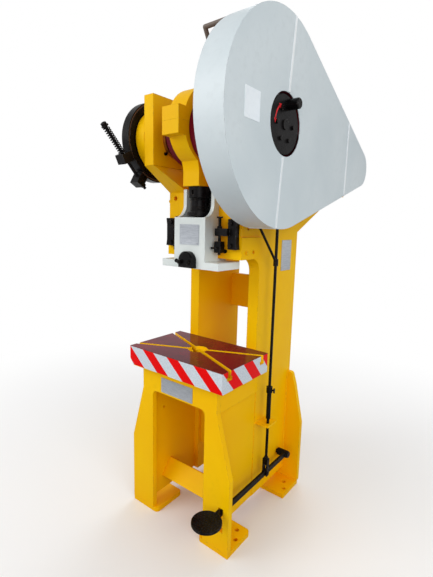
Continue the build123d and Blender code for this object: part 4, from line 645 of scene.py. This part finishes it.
def hub_arrow():
    """A thin red arc with a head at each end, on the face of the hub disc."""
    reach, first, sweep = 0.062, math.radians(37), math.radians(47)
    thickness, off_face, merge = 0.0006, 0.0001, 0.00002
    arc = arrow_arc(reach, sweep)
    heads = [arrow_head(reach, angle, way) for angle, way in ((0.0, -1), (sweep, 1))]
    arrow = joined("hub_turning_arrow", [arc] + heads)
    face_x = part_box("hub_disc")[1].x
    moved(arrow, (face_x + off_face, CRANK.y, CRANK.z), Matrix.Rotation(first, 4, "X"))
    bpy.ops.object.mode_set(mode="EDIT")
    bpy.ops.mesh.select_all(action="SELECT")
    bpy.ops.mesh.remove_doubles(threshold=merge)
    bpy.ops.mesh.normals_make_consistent(inside=False)
    bpy.ops.object.mode_set(mode="OBJECT")
    applied(arrow, "SOLIDIFY", thickness=thickness, offset=0.0)
    dressed(arrow, "flywheel", "crank_red", ARROW_RED)


def rivet_head(x, y, radius):
    """A low rivet's head, cut flat just under the plate's sunk face."""
    middle_z, cut_z, flatness = 0.0004, 0.0003, 0.62
    head = start(
        "rivet",
        bpy.ops.mesh.primitive_uv_sphere_add,
        scale=(1.0, 1.0, flatness),
        segments=14,
        ring_count=8,
        radius=radius,
        location=(x, y, middle_z),
    )
    settled(head)
    bpy.ops.object.mode_set(mode="EDIT")
    bpy.ops.mesh.select_all(action="SELECT")
    bpy.ops.mesh.bisect(plane_co=RISE * cut_z, plane_no=RISE, clear_inner=True, use_fill=True)
    bpy.ops.object.mode_set(mode="OBJECT")
    return head


def framed_plate(name, corner, along, rise, width, height, body, finish=None, rivet=0.0027):
    """A thin plate with a raised border, lying on a face.

    corner is its lower left corner, and along and rise are its two directions. It has a rivet
    of the radius rivet in each corner, or none where that is 0."""
    thickness, soft, border, sunk, rivet_in = 0.0009, 0.0003, 0.0022, 0.0005, 0.0075
    plate = block(name, (0.0, 0.0, 0.0), (width, height, thickness))
    soften(plate, lambda spot: True, soft, 2)
    bpy.ops.object.mode_set(mode="EDIT")
    choose(plate, "FACE", lambda face: face.normal.z > 0.99 and face.calc_area() > width * height / 2)
    bpy.ops.mesh.inset(thickness=border, depth=-sunk)
    bpy.ops.object.mode_set(mode="OBJECT")
    parts = [plate]
    if rivet:
        for x in (rivet_in, width - rivet_in):
            for y in (rivet_in, height - rivet_in):
                parts.append(rivet_head(x, y, rivet))
    piece = moved(joined(name, parts), corner, turn_to(along, rise, along.cross(rise)))
    dressed(piece, body, "plate_alu", finish)


def bare_plates():
    """The framed plates on the guard, the base, the column and the slide."""
    guard_corner, guard_width, guard_height = (GUARD_FACE, -0.442, 1.532), 0.0785, 0.083
    base_width, base_height = 0.166, 0.061
    column_width, column_height = 0.084, 0.132
    low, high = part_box("bare_plates")
    column_corner = (high.x, high.y - column_width, high.z - column_height)
    slide_low, slide_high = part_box("slide_plate")
    slide_width, slide_height = slide_high.x - slide_low.x, slide_high.z - slide_low.z
    framed_plate(
        "bare_plate_on_guard",
        guard_corner,
        BACK,
        RISE,
        guard_width,
        guard_height,
        "frame",
        WHITE_PLATE,
        rivet=0,
    )
    framed_plate("bare_plate_on_base", low, RIGHT, RISE, base_width, base_height, "frame")
    framed_plate("bare_plate_on_column", column_corner, BACK, RISE, column_width, column_height, "frame")
    framed_plate("bare_plate_on_slide", slide_low, RIGHT, RISE, slide_width, slide_height, "ram")


def pedal_tread():
    """Rows of blunt studs on the pedal's disc, inside a low rim."""
    middle_x, middle_y, top = 0.225, -0.405, 0.194
    stud_height, stud_sunk, stud_soft = 0.0024, 0.0001, 0.0006
    pitch, rows, studs_reach = 0.0128, 4, 0.0465
    stud = start(
        "stud",
        bpy.ops.mesh.primitive_cone_add,
        vertices=8,
        radius1=0.0042,
        radius2=0.0031,
        depth=stud_height,
        location=(middle_x, middle_y, top + stud_height / 2 - stud_sunk),
    )
    settled(stud)
    soften(stud, lambda corner: corner.z > top + stud_height / 2, stud_soft, 2)
    parts = []
    for row in range(-rows, rows + 1):
        for column in range(-rows, rows + 1):
            x = (column + (row % 2) / 2) * pitch
            y = row * pitch * math.sqrt(3) / 2
            if 0.0 < math.hypot(x, y) < studs_reach:
                parts.append(copied(stud, (x, y, 0.0)))
    rim = start(
        "rim",
        bpy.ops.mesh.primitive_torus_add,
        major_radius=0.0530,
        minor_radius=0.0022,
        major_segments=64,
        minor_segments=8,
        location=(middle_x, middle_y, top),
    )
    parts += [settled(rim), stud]
    dressed(joined("pedal_tread", parts), "pedal", "black_steel")


def wound(name, reach, wire, rise, turns, sides=10):
    """A wire wound around Z from the origin up, with closed ends."""
    steps_a_turn = 28
    coil = start(
        name,
        bpy.ops.mesh.primitive_circle_add,
        vertices=sides,
        radius=wire,
        location=(reach, 0.0, 0.0),
        rotation=(QUARTER_TURN, 0.0, 0.0),
    )
    settled(coil)
    steps = int(steps_a_turn * turns)
    applied(
        coil,
        "SCREW",
        angle=2 * math.pi * turns,
        screw_offset=rise,
        axis="Z",
        steps=steps,
        render_steps=steps,
        use_merge_vertices=True,
    )
    bpy.ops.object.mode_set(mode="EDIT")
    bpy.ops.mesh.select_all(action="DESELECT")
    bpy.ops.mesh.select_non_manifold()
    bpy.ops.mesh.edge_face_add()
    bpy.ops.mesh.select_all(action="SELECT")
    bpy.ops.mesh.normals_make_consistent(inside=False)
    bpy.ops.object.mode_set(mode="OBJECT")
    return coil


def thread_ridge(middle, foot, top, core, pitch, ridge):
    """A screw's thread, a sharp ridge wound on its core between two heights."""
    rise = top - foot - 2 * ridge
    coil = wound("ridge", core, ridge, rise, rise / pitch, sides=4)
    coil.location = (middle[0], middle[1], foot + ridge)
    return settled(coil)


def ball_screw_thread():
    """Thread on the ball screw, from its flare up to the lock collar, clear of its bar hole."""
    collar_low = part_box("lock_collar")[0].z
    flare_top = collar_low - 0.054
    hole_z, hole_r = collar_low - 0.024, 0.007
    end_gap, hole_gap = 0.0015, 0.001
    spans = (
        (flare_top + end_gap, hole_z - hole_r - hole_gap),
        (hole_z + hole_r + hole_gap, collar_low - end_gap),
    )
    ridges = [
        thread_ridge((CRANK.x, CRANK.y), foot, top, core=0.038, pitch=0.0058, ridge=0.0018)
        for foot, top in spans
    ]
    dressed(joined("ball_screw_thread", ridges), "rod", "black_steel", angle=20)


def stop_screw_threads():
    """Thread on the two stop screws, under the bracket's arm and between its nut and the tee."""
    bracket_low, bracket_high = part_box("stop_brackets")
    block_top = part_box("stop_blocks")[1].z
    arm_low, arm_height, nut_height = bracket_low.z + 0.049, 0.027, 0.008
    nut_top = arm_low + arm_height + nut_height
    tee_low = bracket_high.z + 0.002
    screw_x, screw_y, gap = 0.104, CRANK.y - 0.010, 0.0005
    spans = ((block_top + gap, arm_low - gap), (nut_top + gap, tee_low - gap))
    ridges = [
        thread_ridge((side * screw_x, screw_y), foot, top, core=0.0055, pitch=0.0024, ridge=0.0006)
        for side in (-1, 1)
        for foot, top in spans
    ]
    dressed(joined("stop_screw_threads", ridges), "frame", "black_steel", angle=20)


def brake_coil():
    """The brake's spring, a round wire wound on the tie rod between its two washers."""
    drum_low, drum_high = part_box("brake_drum")
    drum = Vector(((drum_low.x + drum_high.x) / 2, CRANK.y, CRANK.z))
    angle, rod_reach = math.radians(223), 0.1653
    spring_first, spring_length, turns = 0.0782, 0.1034, 11
    wire, coil_reach = 0.0022, 0.0108
    out = Vector((0.0, math.cos(angle), math.sin(angle)))
    along = Vector((0.0, math.sin(angle), -math.cos(angle)))
    coil = wound("brake_coil_spring", coil_reach, wire, spring_length - 2 * wire, turns)
    foot = drum + out * rod_reach + along * (spring_first + wire)
    moved(coil, foot, turn_to(RIGHT, along.cross(RIGHT), along))
    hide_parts("brake_spring")
    dressed(coil, "frame", "black_steel", angle=60)


def weld_bead(first, last, up):
    """A row of overlapping flattened drops laid into the corner between two plates."""
    pitch, drop_size = 0.0034, (0.0036, 0.0042, 0.0030)
    first, last = Vector(first), Vector(last)
    length = (last - first).length
    count = max(2, int(length / pitch))
    drop = start(
        "drop",
        bpy.ops.mesh.primitive_uv_sphere_add,
        scale=drop_size,
        segments=6,
        ring_count=4,
        radius=1.0,
        rotation=(0.0, QUARTER_TURN, 0.0),
    )
    settled(drop)
    applied(
        drop,
        "ARRAY",
        count=count,
        use_relative_offset=False,
        use_constant_offset=True,
        constant_offset_displace=(length / count, 0.0, 0.0),
    )
    drop.location = (-length / 2, 0.0, 0.0)
    return stood(settled(drop), (first + last) / 2, last - first, up)


def weld_beads():
    """The welds where the leg plates, panels, feet, shelf and rod tab meet the frame."""
    panel_low, panel_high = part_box("side_panels")
    base_low, base_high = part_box("base_box")
    shelf_low, shelf_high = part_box("motor_shelf")
    tab_low, tab_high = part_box("rod_tab")
    foot_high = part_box("foot_plates")[1]
    plate_x, panel_x = tab_low.x, panel_high.x
    front_y, rear_y, shelf_y = panel_low.y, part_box("rear_leg_plate")[0].y, shelf_low.y
    # Each weld stops 2 to 4 mm short of where its plates end.
    leg_low, leg_high = panel_low.z + 0.002, panel_high.z - 0.002
    base_front, base_rear, base_z = base_low.y + 0.004, base_high.y - 0.003, base_low.z
    foot_in, foot_out, foot_z = 0.143, foot_high.x - 0.004, foot_high.z
    shelf_in, shelf_out, shelf_z = 0.136, plate_x - 0.002, shelf_high.z
    shelf_thickness = 0.014
    web_x, web_low, web_high = 0.158, shelf_low.z + 0.004, shelf_z - shelf_thickness - 0.002
    tab_front, tab_rear, tab_z = tab_low.y + 0.003, tab_high.y - 0.003, tab_high.z
    runs = []
    for side in (-1, 1):
        runs += [
            ((side * panel_x, front_y, leg_low), (side * panel_x, front_y, leg_high), (side, 1, 0)),
            ((side * plate_x, rear_y, leg_low), (side * plate_x, rear_y, leg_high), (side, -1, 0)),
            ((side * panel_x, base_front, base_z), (side * panel_x, base_rear, base_z), (side, 0, -1)),
            ((side * foot_in, front_y, foot_z), (side * foot_out, front_y, foot_z), (0, 1, 1)),
            ((side * foot_in, rear_y, foot_z), (side * foot_out, rear_y, foot_z), (0, -1, 1)),
            ((side * shelf_in, shelf_y, shelf_z), (side * shelf_out, shelf_y, shelf_z), (0, 1, 1)),
            ((side * web_x, shelf_y, web_low), (side * web_x, shelf_y, web_high), (side, 1, 0)),
        ]
    runs.append(((plate_x, tab_front, tab_z), (plate_x, tab_rear, tab_z), (1, 0, 1)))
    beads = [weld_bead(*run) for run in runs]
    dressed(joined("weld_beads", beads), "frame", "frame_yellow", angle=60)


def motor_fins():
    """The cooling ribs along the motor's body, clear of its foot and terminal box."""
    first_degrees, step_degrees, ribs_a_side = 44, 9.4, 10
    root_reach, width, height, soft = 0.0795, 0.003, 0.0065, 0.0011
    cowl_length, end_length = 0.048, 0.020
    left, right = RIGHT * (MOTOR_LOW.x + cowl_length), RIGHT * (MOTOR_HIGH.x - end_length)
    ribs = []
    for side in (-1, 1):
        for step in range(ribs_a_side):
            angle = math.radians(first_degrees + step_degrees * step) * side
            up = Vector((0.0, math.sin(angle), math.cos(angle)))
            root = MOTOR + up * root_reach
            ribs.append(strip("rib", root + left, root + right, up, width, height, soft))
    dressed(joined("motor_cooling_ribs", ribs), "frame", "motor_grey")


def cowl_grille():
    """The wire guard over the end of the motor's fan cowl."""
    end = Vector((MOTOR_LOW.x, MOTOR.y, MOTOR.z))
    first_ring, ring_step, rings, ring_out = 0.020, 0.013, 5, 0.001
    spokes, spoke_in, spoke_out = 6, 0.010, 0.078
    spoke_width, spoke_height, spoke_soft = 0.004, 0.0035, 0.001
    cap_out, cap_soft = 0.0015, 0.0016
    parts = []
    for step in range(rings):
        ring = start(
            "ring",
            bpy.ops.mesh.primitive_torus_add,
            major_radius=first_ring + ring_step * step,
            minor_radius=0.0015,
            major_segments=56,
            minor_segments=8,
            location=end - RIGHT * ring_out,
            rotation=(0.0, QUARTER_TURN, 0.0),
        )
        parts.append(settled(ring))
    for step in range(spokes):
        angle = 2 * math.pi * step / spokes
        way = Vector((0.0, math.sin(angle), math.cos(angle)))
        first, last = end + way * spoke_in, end + way * spoke_out
        parts.append(strip("spoke", first, last, -RIGHT, spoke_width, spoke_height, spoke_soft))
    cap = start(
        "cap",
        bpy.ops.mesh.primitive_cylinder_add,
        vertices=32,
        radius=0.0135,
        depth=0.005,
        location=end - RIGHT * cap_out,
        rotation=(0.0, QUARTER_TURN, 0.0),
    )
    settled(cap)
    soften(cap, lambda corner: corner.x < end.x - cap_out, cap_soft)
    parts.append(cap)
    dressed(joined("fan_cowl_grille", parts), "frame", "black_steel")


guard_seams()
hub_arrow()
bare_plates()
pedal_tread()
brake_coil()
ball_screw_thread()
stop_screw_threads()
weld_beads()
motor_fins()
cowl_grille()


# Floor, light and camera


def studio_floor():
    """A pale floor that fades to plain white far from the press and keeps its shadow near it."""
    floor_size, fade_from, fade_to = 60.0, 0.7, 2.6
    lighting_grey, seen_grey, white = (0.42, 0.42, 0.42, 1.0), (0.9, 0.9, 0.9, 1.0), (1.0, 1.0, 1.0, 1.0)
    floor = start("studio_floor", bpy.ops.mesh.primitive_plane_add, size=floor_size, location=(0, 0, 0))
    pale = Finish("studio_floor_pale")
    x, y = pale.axes(pale.place)[:2]
    far = (x * x + y * y).work("SQRT").ease(fade_from, fade_to)
    ray = pale.add("ShaderNodeLightPath", {}, {})
    looked_at = (ray.part("Is Camera Ray") + ray.part("Is Glossy Ray")).clipped()
    tint = pale.blend(ray.part("Is Camera Ray"), lighting_grey, seen_grey)
    pale.set(base_color=tint, roughness=0.6, specular_ior_level=0.1)
    glow = pale.add("ShaderNodeEmission", {}, {"Color": white, "Strength": 1.0})
    paint = Tone(pale, pale.skin.outputs["BSDF"])
    mixed = pale.add("ShaderNodeMixShader", {}, {0: far * looked_at, 1: paint, 2: glow})
    pale.fill(pale.tree.nodes["Material Output"].inputs["Surface"], mixed)
    floor.data.materials.append(pale.material)


def studio_sky():
    """A plain sky that is soft light to the press and white to the camera."""
    light_strength, seen_strength, white = 0.58, 1.0, (1.0, 1.0, 1.0, 1.0)
    world = bpy.data.worlds.new("studio")
    bpy.context.scene.world = world
    world.use_nodes = True
    nodes, links = world.node_tree.nodes, world.node_tree.links
    soft = nodes["Background"]
    soft.inputs["Color"].default_value = white
    soft.inputs["Strength"].default_value = light_strength
    plain = nodes.new("ShaderNodeBackground")
    plain.inputs["Color"].default_value = white
    plain.inputs["Strength"].default_value = seen_strength
    ray = nodes.new("ShaderNodeLightPath")
    seen = nodes.new("ShaderNodeMath")
    seen.operation = "MAXIMUM"
    links.new(ray.outputs["Is Camera Ray"], seen.inputs[0])
    links.new(ray.outputs["Is Transmission Ray"], seen.inputs[1])
    mix = nodes.new("ShaderNodeMixShader")
    for place, tone in enumerate((seen, soft, plain)):
        links.new(tone.outputs[0], mix.inputs[place])
    links.new(mix.outputs[0], nodes["World Output"].inputs["Surface"])


def soft_box(name, place, aim, side, power):
    """A square lamp that looks at a point."""
    lamp = bpy.data.lights.new(name, "AREA")
    lamp.shape = "RECTANGLE"
    lamp.size = lamp.size_y = side
    lamp.energy = power
    holder = bpy.data.objects.new(name, lamp)
    bpy.context.scene.collection.objects.link(holder)
    holder.location = place
    toward = Vector(aim) - Vector(place)
    holder.rotation_euler = toward.to_track_quat("-Z", "Y").to_euler()


def photo_camera():
    """The photograph's viewpoint, front right of the press, at about the ram's height."""
    place = (0.9945, -1.3753, 1.2423)
    yaw, pitch, roll = (math.radians(degrees) for degrees in (37.75, 9.45, 1.44))
    picture_height_px, focal_length_px, sensor_mm = 577, 391.76, 36.0
    data = bpy.data.cameras.new("photo_camera")
    data.sensor_fit = "AUTO"
    data.sensor_width = sensor_mm
    data.lens = focal_length_px / picture_height_px * sensor_mm
    data.clip_start, data.clip_end = 0.02, 200.0
    camera = bpy.data.objects.new("photo_camera", data)
    bpy.context.scene.collection.objects.link(camera)
    ahead = Vector((-math.sin(yaw) * math.cos(pitch), math.cos(yaw) * math.cos(pitch), -math.sin(pitch)))
    level = Vector((math.cos(yaw), math.sin(yaw), 0.0))
    up = level.cross(ahead)
    side = level * math.cos(roll) + up * math.sin(roll)
    rise = up * math.cos(roll) - level * math.sin(roll)
    camera.matrix_world = Matrix.Translation(place) @ turn_to(side, rise, -ahead)
    bpy.context.scene.camera = camera


studio_floor()
studio_sky()
soft_box("key_front_left", place=(-2.2, -3.6, 3.2), aim=(0, 0, 0.9), side=2.6, power=72)
soft_box("fill_front", place=(1.9, -3.6, 1.5), aim=(0, 0, 1.1), side=2.0, power=23)
soft_box("fill_right", place=(3.6, -1.6, 2.4), aim=(0, 0, 1.0), side=2.4, power=46)
soft_box("top_rear", place=(-0.5, 2.6, 3.6), aim=(0, 0, 1.0), side=2.4, power=45)
photo_camera()
bpy.context.scene.view_settings.view_transform = "Standard"
